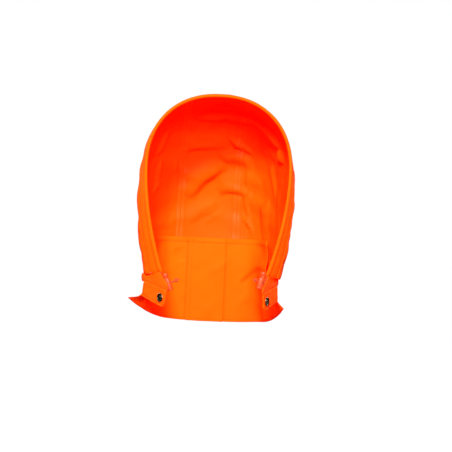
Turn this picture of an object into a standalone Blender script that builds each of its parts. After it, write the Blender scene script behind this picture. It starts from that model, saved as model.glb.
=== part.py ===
"""A detachable weatherproof jacket hood: a three-panel shell and lining, a drawcord hem with two
cord locks, an inside neck facing with an outer flap, and two press-stud tabs at the throat.

Metres, +Z up. The face opening looks along -Y, and left and right are as seen from the front.
The origin is the inside of the crown, where the hood rests on the head.
"""

import functools
import math

import bmesh
import bpy
from mathutils import Matrix, Vector

LEFT, RIGHT = -1, 1
SIDES = ((LEFT, "left"), (RIGHT, "right"))
GAP = 0.0004  # between pieces that are sewn or rest on each other

# The shell is a family of arches, each from one foot over the crown to the other foot, that swing
# from the face opening (0) back and down to the neckline (1).
# station: apex y, apex z, foot y, foot z, half width, height share of the widest place,
#          half width at the foot, squareness
ARCHES = {
    0.00: (-0.118, -0.0012, -0.122, -0.296, 0.1215, 0.60, 0.0880, 2.20),
    0.12: (-0.090, 0.0008, -0.099, -0.303, 0.1310, 0.43, 0.1100, 2.30),
    0.40: (-0.008, -0.0085, -0.074, -0.305, 0.1275, 0.40, 0.1130, 2.40),
    0.68: (0.076, -0.0660, -0.052, -0.306, 0.1210, 0.36, 0.1125, 2.60),
    0.86: (0.111, -0.1720, -0.036, -0.306, 0.1150, 0.32, 0.1115, 2.80),
    1.00: (0.104, -0.3030, -0.022, -0.306, 0.1085, 0.30, 0.1100, 3.00),
}
CENTER_HALF = 0.053  # half the width of the centre strip, forehead to nape
SHELL_CLOTH = 0.0012
LINING_CLOTH = 0.0008
TAPE_CLOTH = 0.0004
TAPE_WIDTH = 0.015

# The hem is a flat tube of cloth round the face opening, with the drawcord in it.
HEM_SHARE = 0.085  # of the way back to the neckline
HEM_THICK = 0.0062
HEM_CLOTH = 0.0010
HEM_CROWN_HALF = 0.150  # measured over the crown to each seam
CORD_RADIUS = 0.0015
CORD_FORWARD = 0.0050

# The neck facing hangs inside the nape: a U in plan, with pointed wings that flare forward.
# share of the way down: half width at the back corner and at the front end, back y, front end y,
#                        middle z, front end z
FACING_ROWS = {
    LEFT: {
        0.00: (0.0900, 0.1030, 0.0950, 0.030, -0.2415, -0.2415),
        0.35: (0.0880, 0.1020, 0.0955, 0.006, -0.2950, -0.2965),
        0.70: (0.0800, 0.1150, 0.0995, -0.030, -0.3490, -0.3400),
        1.00: (0.0640, 0.1380, 0.1030, -0.058, -0.3950, -0.3460),
    },
    RIGHT: {
        0.00: (0.0900, 0.1034, 0.0950, 0.030, -0.2415, -0.2415),
        0.35: (0.0870, 0.1002, 0.0952, 0.006, -0.2950, -0.2965),
        0.70: (0.0960, 0.1130, 0.0995, -0.030, -0.3490, -0.3400),
        1.00: (0.1060, 0.1240, 0.1030, -0.056, -0.3950, -0.3550),
    },
}
FACING_BEND = 0.0420  # how far before and after its back corner the facing bends
FACING_SHARPER = {LEFT: 0.0, RIGHT: 0.026}  # how much shorter that bend is at the bottom
FACING_LIFT = {LEFT: 2.0, RIGHT: 3.0}  # how late along a wing its lower edge rises
FACING_CLOTH = 0.0012
FACING_SEAM = 0.0357  # half the width of the middle section
FLAP_TOP = 0.45  # share of the way down the facing where the outer flap starts
FLAP_CLOTH = 0.0012

# Neck band below the hem's end, and the press-stud tab that folds along its lower edge.
BAND_TOPS = (  # y and z along its upper edge, under the hem's end and the shell's feet
    (-0.1400, -0.3230),
    (-0.1190, -0.3015),
    (-0.1130, -0.3010),
    (-0.1060, -0.3030),
    (-0.0960, -0.3042),
    (-0.0700, -0.3060),
    (-0.0500, -0.3068),
    (-0.0100, -0.3070),
)
BAND_CLOTH = 0.0014
BANDS = {  # in plan, mirrored for the left: the free front end, where it turns back, and its end
    LEFT: (Vector((0.0765, -0.1370, 0)), Vector((0.1140, -0.0850, 0)), Vector((0.1150, -0.0150, 0))),
    RIGHT: (Vector((0.0785, -0.1385, 0)), Vector((0.1085, -0.0850, 0)), Vector((0.1145, -0.0150, 0))),
}
BAND_BEND = 0.0120  # how far past the turn its curve starts to bend
CREASE_BACK = -0.3150
CREASE_FRONT = -0.3270
TAB_DROP = 0.0300
TAB_RISE = 0.0040  # of its lower edge, from the free corner to the back
TAB_INSET = 0.0015
TAB_CORNER = 0.0090
BACKING_INSET = 0.0008
TAB_CLOTH = 0.0011
FOLD_AXIS_OUT = 0.0015  # the tab turns about a line this far outside the crease's middle
STUD_FROM_END = 0.0135
STUD_DROP = 0.0150
STUD_RADIUS = 0.0075
STUD_HOLE = 0.0025
BARREL_LENGTH = 0.0045

# Cord locks, upright in their own frame: the cord runs along local X.
LOCK_RX = 0.0052
LOCK_RY = 0.0070
LOCK_BELOW = 0.0120  # from the cord down to the base
LOCK_HEIGHT = 0.0190
BORE_RADIUS = 0.0041
BORE_FLOOR = 0.0030
CORD_HOLE = 0.0021
PLUNGER_RADIUS = 0.0037
PLUNGER_FOOT = 0.0090
PLUNGER_TRAVEL = 0.0030
HEAD_HEIGHT = 0.0058
HEAD_CLEAR = 0.0012  # left under the head when it is pressed home
HEAD_INSET_X = 0.0006
HEAD_INSET_Y = 0.0014
HEAD_OVERLAP = 0.0010  # of the stem into the head
LOCK_EDGE = 0.0012
HEAD_EDGE = 0.0010
SLOT_HALF = 0.0023  # half the height of the plunger's slot for the cord
THROUGH = 0.0120  # how far a cutter reaches past both faces
SPRING_RADIUS = 0.0026
SPRING_WIRE = 0.0003
SPRING_TURNS = 4
SPRING_STEPS = 9  # straight pieces in each turn
LOCKS = {
    LEFT: dict(at=Vector((-0.0755, -0.1120, -0.3165)), cord=(0.88, 0.34, 0.33), lean=(-0.45, 0.0, 1.0)),
    RIGHT: dict(at=Vector((0.0800, -0.1075, -0.3085)), cord=(-0.55, 0.82, 0.12), lean=(0.20, 0.0, 1.0)),
}
# The cord's free end, in distances along its straight run from the lock's middle.
CORD_STOPS = (-0.0115, -0.0085, -0.0045, 0.0, 0.0045, 0.0085, 0.0130)
CORD_LEAVES = 0.0045  # straight out of the hem before it bends
CORD_POINTS = 0.0030  # between the points of its route
KNOT_RADIUS = 0.0029
KNOT_FLAT = 0.85  # of the knot's length to its width
KNOT_RIDGE = 0.10  # how far its turns stand out


# ---------------------------------------------------------------- helpers


def clear_scene():
    for old in list(bpy.data.objects):
        bpy.data.objects.remove(old)


def material(name, color, roughness, metallic=0.0):
    made = bpy.data.materials.get(name) or bpy.data.materials.new(name)
    made.use_nodes = True
    shader = made.node_tree.nodes["Principled BSDF"]
    shader.inputs["Base Color"].default_value = (*color, 1.0)
    shader.inputs["Roughness"].default_value = roughness
    shader.inputs["Metallic"].default_value = metallic
    return made


def orange_twill():
    return material("orange_twill", (0.98, 0.20, 0.01), 0.62)


def orange_coated():
    return material("orange_coated_lining", (0.95, 0.09, 0.02), 0.45)


def tape_film():
    return material("seam_tape_film", (0.96, 0.16, 0.05), 0.35)


def orange_cord():
    return material("orange_braided_cord", (0.80, 0.16, 0.05), 0.75)


def lock_plastic():
    return material("orange_acetal", (0.86, 0.20, 0.08), 0.38)


def antique_brass():
    return material("antique_brass", (0.16, 0.10, 0.06), 0.36, 1.0)


def spring_steel():
    return material("spring_steel", (0.55, 0.55, 0.56), 0.30, 1.0)


def add_object(name, mesh, look, smooth=True):
    made = bpy.data.objects.new(name, mesh)
    bpy.context.scene.collection.objects.link(made)
    mesh.materials.append(look)
    if smooth:
        mesh.shade_smooth()
        mesh.set_sharp_from_angle(angle=math.radians(40))
    return made


def mesh_of(name, points, faces):
    mesh = bpy.data.meshes.new(name)
    mesh.from_pydata([tuple(p) for p in points], [], faces)
    build = bmesh.new()
    build.from_mesh(mesh)
    bmesh.ops.recalc_face_normals(build, faces=build.faces)
    build.to_mesh(mesh)
    build.free()
    return mesh


def spline(table, at, column):
    """A smooth value between the table's stations (Catmull-Rom on uneven stations)."""
    stations = sorted(table)
    values = [table[s][column] for s in stations]
    at = min(max(at, stations[0]), stations[-1])
    i = min(max(sum(s <= at for s in stations) - 1, 0), len(stations) - 2)

    def slope(k):
        a, b = max(k - 1, 0), min(k + 1, len(stations) - 1)
        return (values[b] - values[a]) / (stations[b] - stations[a])

    width = stations[i + 1] - stations[i]
    t = (at - stations[i]) / width
    return (
        (2 * t**3 - 3 * t**2 + 1) * values[i]
        + (t**3 - 2 * t**2 + t) * width * slope(i)
        + (3 * t**2 - 2 * t**3) * values[i + 1]
        + (t**3 - t**2) * width * slope(i + 1)
    )


def walk(points, distance):
    """The point this far along a polyline."""
    for a, b in zip(points, points[1:]):
        step = (b - a).length
        if distance <= step or b is points[-1]:
            return a.lerp(b, distance / step)
        distance -= step
    return points[-1].copy()


def length_of(points):
    return sum((b - a).length for a, b in zip(points, points[1:]))


def sheet_solid(name, rows, normals, outer, thickness, look):
    """A closed cloth solid: rows of points, moved along their normals by outer, and by outer - thickness."""
    count, across = len(rows), len(rows[0])
    top = [p + n * outer for row, way in zip(rows, normals) for p, n in zip(row, way)]
    low = [p + n * (outer - thickness) for row, way in zip(rows, normals) for p, n in zip(row, way)]
    base = len(top)
    faces = []
    for i in range(count - 1):
        for j in range(across - 1):
            a, b = i * across + j, (i + 1) * across + j
            faces.append((a, a + 1, b + 1, b))
            faces.append((base + a, base + b, base + b + 1, base + a + 1))
    rim = list(range(across))
    rim += [i * across + across - 1 for i in range(1, count)]
    rim += [(count - 1) * across + j for j in range(across - 2, -1, -1)]
    rim += [i * across for i in range(count - 2, 0, -1)]
    for a, b in zip(rim, rim[1:] + rim[:1]):
        faces.append((a, base + a, base + b, b))
    return add_object(name, mesh_of(name, top + low, faces), look)


def grid_normals(rows, inside):
    """Each point's normal from its neighbours, pointing away from the point inside."""
    count, across = len(rows), len(rows[0])
    normals = []
    for i in range(count):
        line = []
        for j in range(across):
            along = rows[min(i + 1, count - 1)][j] - rows[max(i - 1, 0)][j]
            over = rows[i][min(j + 1, across - 1)] - rows[i][max(j - 1, 0)]
            normal = along.cross(over).normalized()
            if normal.dot(rows[i][j] - inside) < 0:
                normal.negate()
            line.append(normal)
        normals.append(line)
    return normals


# ---------------------------------------------------------------- shell surface

INSIDE = Vector((0, -0.02, -0.18))
NEAR = 0.002
NEAR_STATION = 0.01


@functools.lru_cache(maxsize=None)
def half_arch(station, side, steps=72):
    """One arch from its apex down to its foot on this side, as a fine polyline."""
    apex_y, apex_z, foot_y, foot_z, half, widest, foot_half, square = (
        spline(ARCHES, station, column) for column in range(8)
    )
    points = []
    for k in range(steps + 1):
        turn = k / steps * 0.5 * math.pi
        x = half * math.sin(turn) ** (2 / square)
        rise = widest + (1 - widest) * math.cos(turn) ** (2 / square)
        points.append((x, rise))
    for k in range(1, steps // 2 + 1):
        down = k / (steps // 2)
        points.append((half - (half - foot_half) * down**1.8, widest * (1 - down)))
    foot = Vector((0, foot_y, foot_z))
    apex = Vector((0, apex_y, apex_z))
    return [Vector((side * x, 0, 0)) + foot.lerp(apex, rise) for x, rise in points]


def shell_point(station, side, distance):
    """On the shell, this far over from the apex; a negative distance is on the other side."""
    if distance < 0:
        side, distance = -side, -distance
    return walk(half_arch(station, side), distance)


def shell_normal(station, side, distance):
    over = shell_point(station, side, distance + NEAR) - shell_point(station, side, distance - NEAR)
    behind = shell_point(min(station + NEAR_STATION, 1.0), side, distance)
    before = shell_point(max(station - NEAR_STATION, 0.0), side, distance)
    normal = over.cross(behind - before).normalized()
    if normal.dot(shell_point(station, side, distance) - INSIDE) < 0:
        normal.negate()
    return normal


def shell_grid(stations, reach, side):
    """Points and normals: reach gives each point's distance from the apex for an arch's length."""
    rows, normals = [], []
    for station in stations:
        distances = reach(length_of(half_arch(station, side)))
        rows.append([shell_point(station, side, distance) for distance in distances])
        normals.append([shell_normal(station, side, distance) for distance in distances])
    return rows, normals


def even(first, last, count):
    return [first + (last - first) * i / (count - 1) for i in range(count)]


SHELL_STATIONS = even(HEM_SHARE + 0.002, 1.0, 15)


def make_panels():
    lining_outer = -SHELL_CLOTH - GAP
    panels = {"center": shell_grid(SHELL_STATIONS, lambda total: even(-CENTER_HALF, CENTER_HALF, 9), RIGHT)}
    for side, label in SIDES:
        reach = lambda total: even(CENTER_HALF + GAP, total - GAP, 13)
        panels[label] = shell_grid(SHELL_STATIONS, reach, side)
    for label, (rows, normals) in panels.items():
        sheet_solid(f"shell_{label}_panel", rows, normals, 0.0, SHELL_CLOTH, orange_twill())
        sheet_solid(f"lining_{label}_panel", rows, normals, lining_outer, LINING_CLOTH, orange_coated())


def make_seam_tapes():
    """Film tape over each long seam, inside the lining."""
    outer = -SHELL_CLOTH - LINING_CLOTH - 3 * GAP
    stations = SHELL_STATIONS[2:-2]
    for side, label in SIDES:
        first = CENTER_HALF - TAPE_WIDTH / 2
        rows, normals = shell_grid(stations, lambda total: even(first, first + TAPE_WIDTH, 3), side)
        sheet_solid(f"seam_tape_{label}", rows, normals, outer, TAPE_CLOTH, tape_film())


# ---------------------------------------------------------------- drawcord hem


def hem_frames(side, distances):
    """Middle, forward and outward directions of the hem at distances over the crown from the apex."""
    frames = []
    back = half_arch(HEM_SHARE, side)
    front = half_arch(0.0, side)
    back_length, front_length = length_of(back), length_of(front)
    for distance in distances:
        share = distance / back_length
        a = walk(back, distance)
        b = walk(front, share * front_length)
        further = walk(back, min(distance + NEAR, back_length)) - walk(back, max(distance - NEAR, 0))
        forward = (b - a).normalized()
        outward = forward.cross(further).normalized() * side
        if outward.dot(a - INSIDE) < 0:
            outward.negate()
        frames.append((a, forward, outward, (b - a).length))
    return frames


def hem_ring(frame, inset):
    """A rounded flat section from the hem's back edge to its fold; inset by the cloth for the channel."""
    base, forward, outward, width = frame
    half = HEM_THICK / 2 - inset
    first = GAP + inset + half
    last = width - inset - half
    ring = []
    for middle, start in ((last, 90), (first, 270)):
        for k in range(4):
            turn = math.radians(start - 60 * k)
            reach = middle + half * math.cos(turn)
            ring.append(base + forward * reach + outward * (half * math.sin(turn) - HEM_THICK / 2))
    return ring


def hem_solid(name, frames):
    outer = [hem_ring(frame, 0.0) for frame in frames]
    inner = [hem_ring(frame, HEM_CLOTH) for frame in frames]
    count, around = len(frames), len(outer[0])
    points = [p for ring in outer + inner for p in ring]
    shift = count * around
    faces = []
    for i in range(count - 1):
        for j in range(around):
            a, b = i * around + j, i * around + (j + 1) % around
            faces.append((a, b, b + around, a + around))
            faces.append((shift + a, shift + a + around, shift + b + around, shift + b))
    for end in (0, (count - 1) * around):
        for j in range(around):
            a, b = end + j, end + (j + 1) % around
            faces.append((a, b, shift + b, shift + a))
    return add_object(name, mesh_of(name, points, faces), orange_twill())


def hem_half_length():
    return length_of(half_arch(HEM_SHARE, RIGHT))


def crown_stops():
    return even(0.0, HEM_CROWN_HALF, 7)


def side_stops():
    return even(HEM_CROWN_HALF + GAP, hem_half_length(), 11)


def over_the_crown(stops):
    """Hem frames from the left round to the right, at these distances on each side."""
    return hem_frames(LEFT, stops)[:0:-1] + hem_frames(RIGHT, stops)


def make_hem():
    hem_solid("front_hem_crown", over_the_crown(crown_stops()))
    for side, label in SIDES:
        hem_solid(f"front_hem_{label}", hem_frames(side, side_stops()))


def cord_in_hem(frame):
    base, forward, outward, width = frame
    return base + forward * (width - CORD_FORWARD) - outward * HEM_THICK / 2


def add_tube(name, points, radius, look, sides=2):
    curve = bpy.data.curves.new(name, "CURVE")
    curve.dimensions = "3D"
    curve.bevel_depth = radius
    curve.bevel_resolution = sides
    curve.use_fill_caps = True
    run = curve.splines.new("POLY")
    run.points.add(len(points) - 1)
    for point, place in zip(run.points, points):
        point.co = (*place, 1.0)
    made = bpy.data.objects.new(name, curve)
    bpy.context.scene.collection.objects.link(made)
    curve.materials.append(look)
    return made


def smooth_route(through, spacing, steps=12):
    """Points every spacing along a Catmull-Rom curve through the route's own points."""
    ends = [2 * through[0] - through[1]] + list(through) + [2 * through[-1] - through[-2]]
    fine = []
    for a, b, c, d in zip(ends, ends[1:], ends[2:], ends[3:]):
        for k in range(steps):
            t = k / steps
            fine.append(
                0.5 * ((2 * b) + (c - a) * t + (2 * a - 5 * b + 4 * c - d) * t**2
                       + (3 * b - a - 3 * c + d) * t**3)
            )
    fine.append(through[-1].copy())
    total = length_of(fine)
    count = max(round(total / spacing), 2)
    return [walk(fine, total * i / count) for i in range(count)] + [fine[-1]]


def make_drawcord():
    """The drawcord: whole inside the hem, and a free end on each side through its lock to a knot."""
    run = [cord_in_hem(frame) for frame in over_the_crown(crown_stops() + side_stops()[1:])]
    add_tube("drawcord_in_hem", run, CORD_RADIUS, orange_cord())
    for side, label in SIDES:
        add_tube(f"drawcord_end_{label}", cord_end_route(side), CORD_RADIUS, orange_cord())
        make_knot(side, label)


def cord_exit(side):
    frames = hem_frames(side, [hem_half_length() - CORD_LEAVES, hem_half_length()])
    before, last = (cord_in_hem(f) for f in frames)
    return last, (last - before).normalized()


def cord_line(side):
    """The lock's place on the cord, and the cord's direction there."""
    lock = LOCKS[side]
    return lock["at"], Vector(lock["cord"]).normalized()


def cord_end_route(side):
    leave, way = cord_exit(side)
    at, along = cord_line(side)
    through = [leave + way * GAP, leave + way * CORD_LEAVES]
    through += [at + along * stop for stop in CORD_STOPS]
    return smooth_route(through, CORD_POINTS)


def make_knot(side, label):
    """The overhand knot in the cord's end: two turns wrapped round the cord."""
    at, along = cord_line(side)
    middle = at + along * (CORD_STOPS[-1] + GAP + KNOT_RADIUS * KNOT_FLAT)
    mesh = bpy.data.meshes.new("knot")
    build = bmesh.new()
    bmesh.ops.create_uvsphere(build, u_segments=12, v_segments=8, radius=KNOT_RADIUS)
    for vertex in build.verts:
        ridge = 1.0 + KNOT_RIDGE * math.cos(2 * math.pi * vertex.co.z / KNOT_RADIUS)
        vertex.co.x *= ridge
        vertex.co.y *= ridge
        vertex.co.z *= KNOT_FLAT
    build.to_mesh(mesh)
    build.free()
    made = add_object(f"drawcord_knot_{label}", mesh, orange_cord())
    made.matrix_world = Matrix.Translation(middle) @ along.to_track_quat("Z", "X").to_matrix().to_4x4()


# ---------------------------------------------------------------- neck facing and flap


@functools.lru_cache(maxsize=None)
def facing_curve(side, down):
    """The facing's plan from the middle of the back to a front end, down from its top edge (0)."""
    corner_half, end_half, back, front = (spline(FACING_ROWS[side], down, c) for c in range(4))
    corner = Vector((corner_half, back, 0))
    end = Vector((end_half, front, 0))
    reach = FACING_BEND - FACING_SHARPER[side] * max(0.0, (down - 0.35) / 0.65)
    before = Vector((corner_half - reach, back, 0))
    after = corner + (end - corner).normalized() * reach
    curve = [Vector((before.x * share, back, 0)) for share in even(0.0, 1.0, 17)[:-1]]
    for t in even(0.0, 1.0, 17)[:-1]:
        curve.append(before * (1 - t) ** 2 + corner * 2 * t * (1 - t) + after * t**2)
    curve += [after.lerp(end, share) for share in even(0.0, 1.0, 17)]
    return [Vector((side * p.x, p.y, 0)) for p in curve]


def facing_point(side, distance, down):
    curve = facing_curve(side, down)
    middle_z, end_z = (spline(FACING_ROWS[side], down, c) for c in (4, 5))
    point = walk(curve, distance)
    point.z = middle_z + (end_z - middle_z) * (distance / length_of(curve)) ** FACING_LIFT[side]
    return point


def facing_rows(side, reach, downs):
    return [[facing_point(side, d, down) for d in reach(length_of(facing_curve(side, down)))] for down in downs]


NAPE_INSIDE = Vector((0, 0.0, -0.32))


def cloth_strip(label, rows, outer, cloth, look):
    normals = grid_normals(rows, NAPE_INSIDE)
    for line in normals:
        for normal in line:
            normal.z = 0.0
            normal.normalize()
    sheet_solid(label, rows, normals, outer, cloth, look)


def make_neck():
    below = even(FLAP_TOP, 1.0, 6)
    whole = even(0.0, FLAP_TOP, 4)[:-1] + below
    for prefix, downs, outer, cloth in (
        ("neck_facing", whole, 0.0, FACING_CLOTH),
        ("neck_flap", below, 2 * GAP + FLAP_CLOTH, FLAP_CLOTH),
    ):
        left = facing_rows(LEFT, lambda total: even(FACING_SEAM, 0.0, 3), downs)
        right = facing_rows(RIGHT, lambda total: even(0.0, FACING_SEAM, 3), downs)
        rows = [a[:-1] + b for a, b in zip(left, right)]
        cloth_strip(f"{prefix}_center", rows, outer, cloth, orange_twill())
        for side, label in SIDES:
            rows = facing_rows(side, lambda total: even(FACING_SEAM + GAP, total, 13), downs)
            cloth_strip(f"{prefix}_{label}", rows, outer, cloth, orange_twill())


# ---------------------------------------------------------------- neck band, tabs and press studs


def on_side(point, side):
    return Vector((side * point.x, point.y, point.z))


def band_line(side):
    """The band's plan, from its free front end back to where it stops, and its lower edge's height."""
    front, turn, back = BANDS[side]
    line = [(front.lerp(turn, share), share) for share in even(0.0, 1.0, 7)]
    corner = turn + (turn - front).normalized() * BAND_BEND
    for t in even(0.2, 1.0, 5):
        line.append((turn * (1 - t) ** 2 + corner * 2 * t * (1 - t) + back * t**2, 1.0))
    return [(point, CREASE_FRONT + (CREASE_BACK - CREASE_FRONT) * share) for point, share in line]


def band_top(y):
    """The height of the band's upper edge at this y."""
    for (y0, z0), (y1, z1) in zip(BAND_TOPS, BAND_TOPS[1:]):
        if y <= y1:
            return z0 + (z1 - z0) * max(y - y0, 0) / (y1 - y0)
    return BAND_TOPS[-1][1]


def make_bands():
    for side, label in SIDES:
        rows = []
        for share in even(0.0, 1.0, 5):
            row = []
            for p, crease in band_line(side):
                top = band_top(p.y)
                row.append(on_side(Vector((p.x, p.y, top + (crease + GAP - top) * share)), side))
            rows.append(row)
        cloth_strip(f"neck_band_{label}", rows, BAND_CLOTH / 2, BAND_CLOTH, orange_twill())


def tab_frame(side):
    """Origin on the fold's axis at its front end, X along the crease, Y outward from the cloth, Z up."""
    front = on_side(BANDS[side][0], side) + Vector((0, 0, CREASE_FRONT))
    back = on_side(BANDS[side][1], side) + Vector((0, 0, CREASE_BACK))
    along = (back - front).normalized()
    outward = Vector((along.y, -along.x, 0)).normalized() * side
    up = along.cross(outward) * -side
    turn = Matrix((along * -side, outward, up)).transposed().to_4x4()
    return Matrix.Translation(front + outward * FOLD_AXIS_OUT) @ turn, (back - front).length


def tab_outline(side, length, inset):
    """The tab's edge in its own X and Z: square at the crease, round at its free lower corner."""
    first, last = TAB_INSET + inset, length - inset
    top, low = -GAP - inset, -TAB_DROP + inset
    corner = TAB_CORNER - inset
    edge = [(last, top), (first, top)]
    for k in range(7):
        turn = math.radians(180 + 15 * k)
        edge.append((first + corner + corner * math.cos(turn), low + corner + corner * math.sin(turn)))
    edge.append((last, low + TAB_RISE))
    return [(-side * x, z) for x, z in edge]


def plate(name, outline, near, far, look):
    """A closed plate from an outline in X and Z, between two heights in Y."""
    build = bmesh.new()
    ring = [build.verts.new((x, near, z)) for x, z in outline]
    face = build.faces.new(ring)
    grown = bmesh.ops.extrude_face_region(build, geom=[face])
    moved = [item for item in grown["geom"] if isinstance(item, bmesh.types.BMVert)]
    bmesh.ops.translate(build, verts=moved, vec=(0, far - near, 0))
    bmesh.ops.recalc_face_normals(build, faces=build.faces)
    mesh = bpy.data.meshes.new(name)
    build.to_mesh(mesh)
    build.free()
    return add_object(name, mesh, look, smooth=False)


def cylinder(name, radius, first, last, axis, at, segments=16):
    """A hidden cutter along the axis, between two distances from the point at."""
    build = bmesh.new()
    bmesh.ops.create_cone(
        build, cap_ends=True, segments=segments, radius1=radius, radius2=radius, depth=last - first
    )
    mesh = bpy.data.meshes.new(name)
    build.to_mesh(mesh)
    build.free()
    made = bpy.data.objects.new(name, mesh)
    bpy.context.scene.collection.objects.link(made)
    made.hide_render = True
    made.display_type = "WIRE"
    place = Vector(at) + Vector(axis) * (first + last) / 2
    made.matrix_world = Matrix.Translation(place) @ Vector(axis).to_track_quat("Z", "X").to_matrix().to_4x4()
    return made


def cut(target, cutter):
    tool = target.modifiers.new(cutter.name, "BOOLEAN")
    tool.operation = "DIFFERENCE"
    tool.solver = "EXACT"
    tool.object = cutter


def turned(name, profile, look, segments=20):
    """A closed turned piece: the profile's (radius, height) points spun round local Y."""
    points, faces = [], []
    for radius, height in profile:
        for k in range(segments):
            turn = 2 * math.pi * k / segments
            points.append((radius * math.cos(turn), height, radius * math.sin(turn)))
    rings = len(profile)
    closed = profile[0][0] > 0 and profile[-1][0] > 0 and profile[0] != profile[-1]
    for i in range(rings if closed else rings - 1):
        for k in range(segments):
            a, b = i * segments + k, i * segments + (k + 1) % segments
            c, d = ((i + 1) % rings) * segments + k, ((i + 1) % rings) * segments + (k + 1) % segments
            faces.append((a, b, d, c))
    mesh = mesh_of(name, points, faces)
    build = bmesh.new()
    build.from_mesh(mesh)
    bmesh.ops.remove_doubles(build, verts=build.verts, dist=1e-6)
    bmesh.ops.recalc_face_normals(build, faces=build.faces)
    build.to_mesh(mesh)
    build.free()
    return add_object(name, mesh, look)


def make_tab(side, label):
    frame, length = tab_frame(side)
    middle = -FOLD_AXIS_OUT
    outer_face = middle + GAP / 2 + TAB_CLOTH
    inner_face = middle - GAP / 2 - TAB_CLOTH
    outline, smaller = tab_outline(side, length, 0.0), tab_outline(side, length, BACKING_INSET)
    outer = plate(f"front_tab_{label}", outline, middle + GAP / 2, outer_face, orange_twill())
    inner = plate(f"tab_backing_{label}", smaller, inner_face, middle - GAP / 2, orange_twill())
    stud = Vector((-side * STUD_FROM_END, 0, -STUD_DROP))
    hole = cylinder(f"stud_hole_{label}", STUD_HOLE, -THROUGH, THROUGH, (0, 1, 0), stud)
    for piece in (outer, inner):
        cut(piece, hole)
    cap = turned(f"press_stud_cap_{label}", cap_profile(outer_face + GAP), antique_brass())
    socket = turned(f"press_stud_socket_{label}", socket_profile(inner_face - GAP), antique_brass())
    for piece in (cap, socket):
        piece.data.transform(Matrix.Translation(stud))
    for piece in (outer, inner, hole, cap, socket):
        piece.matrix_world = frame @ piece.matrix_world


def cap_profile(seat):
    """The visible cap: a dished face inside a rolled rim, on a barrel that goes through the cloth."""
    barrel = STUD_HOLE - GAP
    end = seat - BARREL_LENGTH
    return [
        (0.0, end),
        (barrel, end),
        (barrel, seat),
        (STUD_RADIUS - 0.0006, seat),
        (STUD_RADIUS, seat + 0.0006),
        (STUD_RADIUS - 0.0003, seat + 0.0014),
        (STUD_RADIUS - 0.0012, seat + 0.0018),
        (STUD_RADIUS - 0.0022, seat + 0.0013),
        (0.0030, seat + 0.0013),
        (0.0, seat + 0.0013),
    ]


def socket_profile(seat):
    """The spring socket behind the tab: a ring round the barrel with a raised lip."""
    bore = STUD_HOLE + 0.0001
    return [
        (bore, seat),
        (0.0060, seat),
        (0.0063, seat - 0.0006),
        (0.0046, seat - 0.0012),
        (0.0044, seat - 0.0034),
        (0.0041, seat - 0.0038),
        (0.0033, seat - 0.0038),
        (bore + 0.0004, seat - 0.0034),
        (bore, seat - 0.0016),
    ]


# ---------------------------------------------------------------- cord locks


def oval(name, rx, ry, low, high, look, segments=20, round_edge=0.0):
    """An oval block along local Z, with rounded ends if round_edge is set."""
    build = bmesh.new()
    rings = [(low, 1.0), (high, 1.0)]
    if round_edge:
        rings = [
            (low, 1 - round_edge / rx), (low + 0.3 * round_edge, 1 - 0.3 * round_edge / rx),
            (low + round_edge, 1.0), (high - round_edge, 1.0),
            (high - 0.3 * round_edge, 1 - 0.3 * round_edge / rx), (high, 1 - round_edge / rx),
        ]
    loops = []
    for height, size in rings:
        loop = []
        for k in range(segments):
            turn = 2 * math.pi * k / segments
            loop.append(build.verts.new((rx * size * math.cos(turn), ry * size * math.sin(turn), height)))
        loops.append(loop)
    for a, b in zip(loops, loops[1:]):
        for k in range(segments):
            m = (k + 1) % segments
            build.faces.new((a[k], a[m], b[m], b[k]))
    build.faces.new(loops[0][::-1])
    build.faces.new(loops[-1])
    bmesh.ops.recalc_face_normals(build, faces=build.faces)
    mesh = bpy.data.meshes.new(name)
    build.to_mesh(mesh)
    build.free()
    return add_object(name, mesh, look)


def lock_matrix(side):
    """Local X along the cord and Z up the lock, at the cord's middle."""
    at, along = cord_line(side)
    up = Vector(LOCKS[side]["lean"])
    up = (up - along * up.dot(along)).normalized()
    return Matrix.Translation(at) @ Matrix((along, up.cross(along), up)).transposed().to_4x4()


def hide_cutter(piece):
    piece.hide_render = True
    piece.display_type = "WIRE"
    return piece


def lock_body(label, bottom, top):
    """The barrel, with a blind bore for the plunger and a cross hole for the cord."""
    body = oval(f"cord_lock_body_{label}", LOCK_RX, LOCK_RY, bottom, top, lock_plastic(), round_edge=LOCK_EDGE)
    floor = bottom + BORE_FLOOR
    bore = cylinder(f"lock_bore_{label}", BORE_RADIUS, floor, top + THROUGH, (0, 0, 1), (0, 0, 0))
    hole = cylinder(f"lock_cord_hole_{label}", CORD_HOLE, -THROUGH, THROUGH, (1, 0, 0), (0, 0, 0), 12)
    cut(body, bore)
    cut(body, hole)
    return [body, bore, hole]


def lock_plunger(label, foot, head):
    """The stem and its thumb head, with a slot that lets the stem pass the cord over its travel."""
    stem = oval(
        f"cord_lock_plunger_{label}", PLUNGER_RADIUS, PLUNGER_RADIUS, foot, head + HEAD_OVERLAP, lock_plastic(), 16
    )
    cap = oval(
        f"plunger_head_{label}", LOCK_RX - HEAD_INSET_X, LOCK_RY - HEAD_INSET_Y, head, head + HEAD_HEIGHT,
        lock_plastic(), round_edge=HEAD_EDGE
    )
    union = stem.modifiers.new("head", "BOOLEAN")
    union.operation = "UNION"
    union.object = hide_cutter(cap)
    slot = oval(f"plunger_slot_{label}", SLOT_HALF, SLOT_HALF, -THROUGH, THROUGH, lock_plastic(), 12)
    slot.data.transform(Matrix.Rotation(math.radians(90), 4, "Y"))
    for vertex in slot.data.vertices:
        if vertex.co.z > 0:
            vertex.co.z += PLUNGER_TRAVEL
    cut(stem, hide_cutter(slot))
    return [stem, cap, slot]


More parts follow.
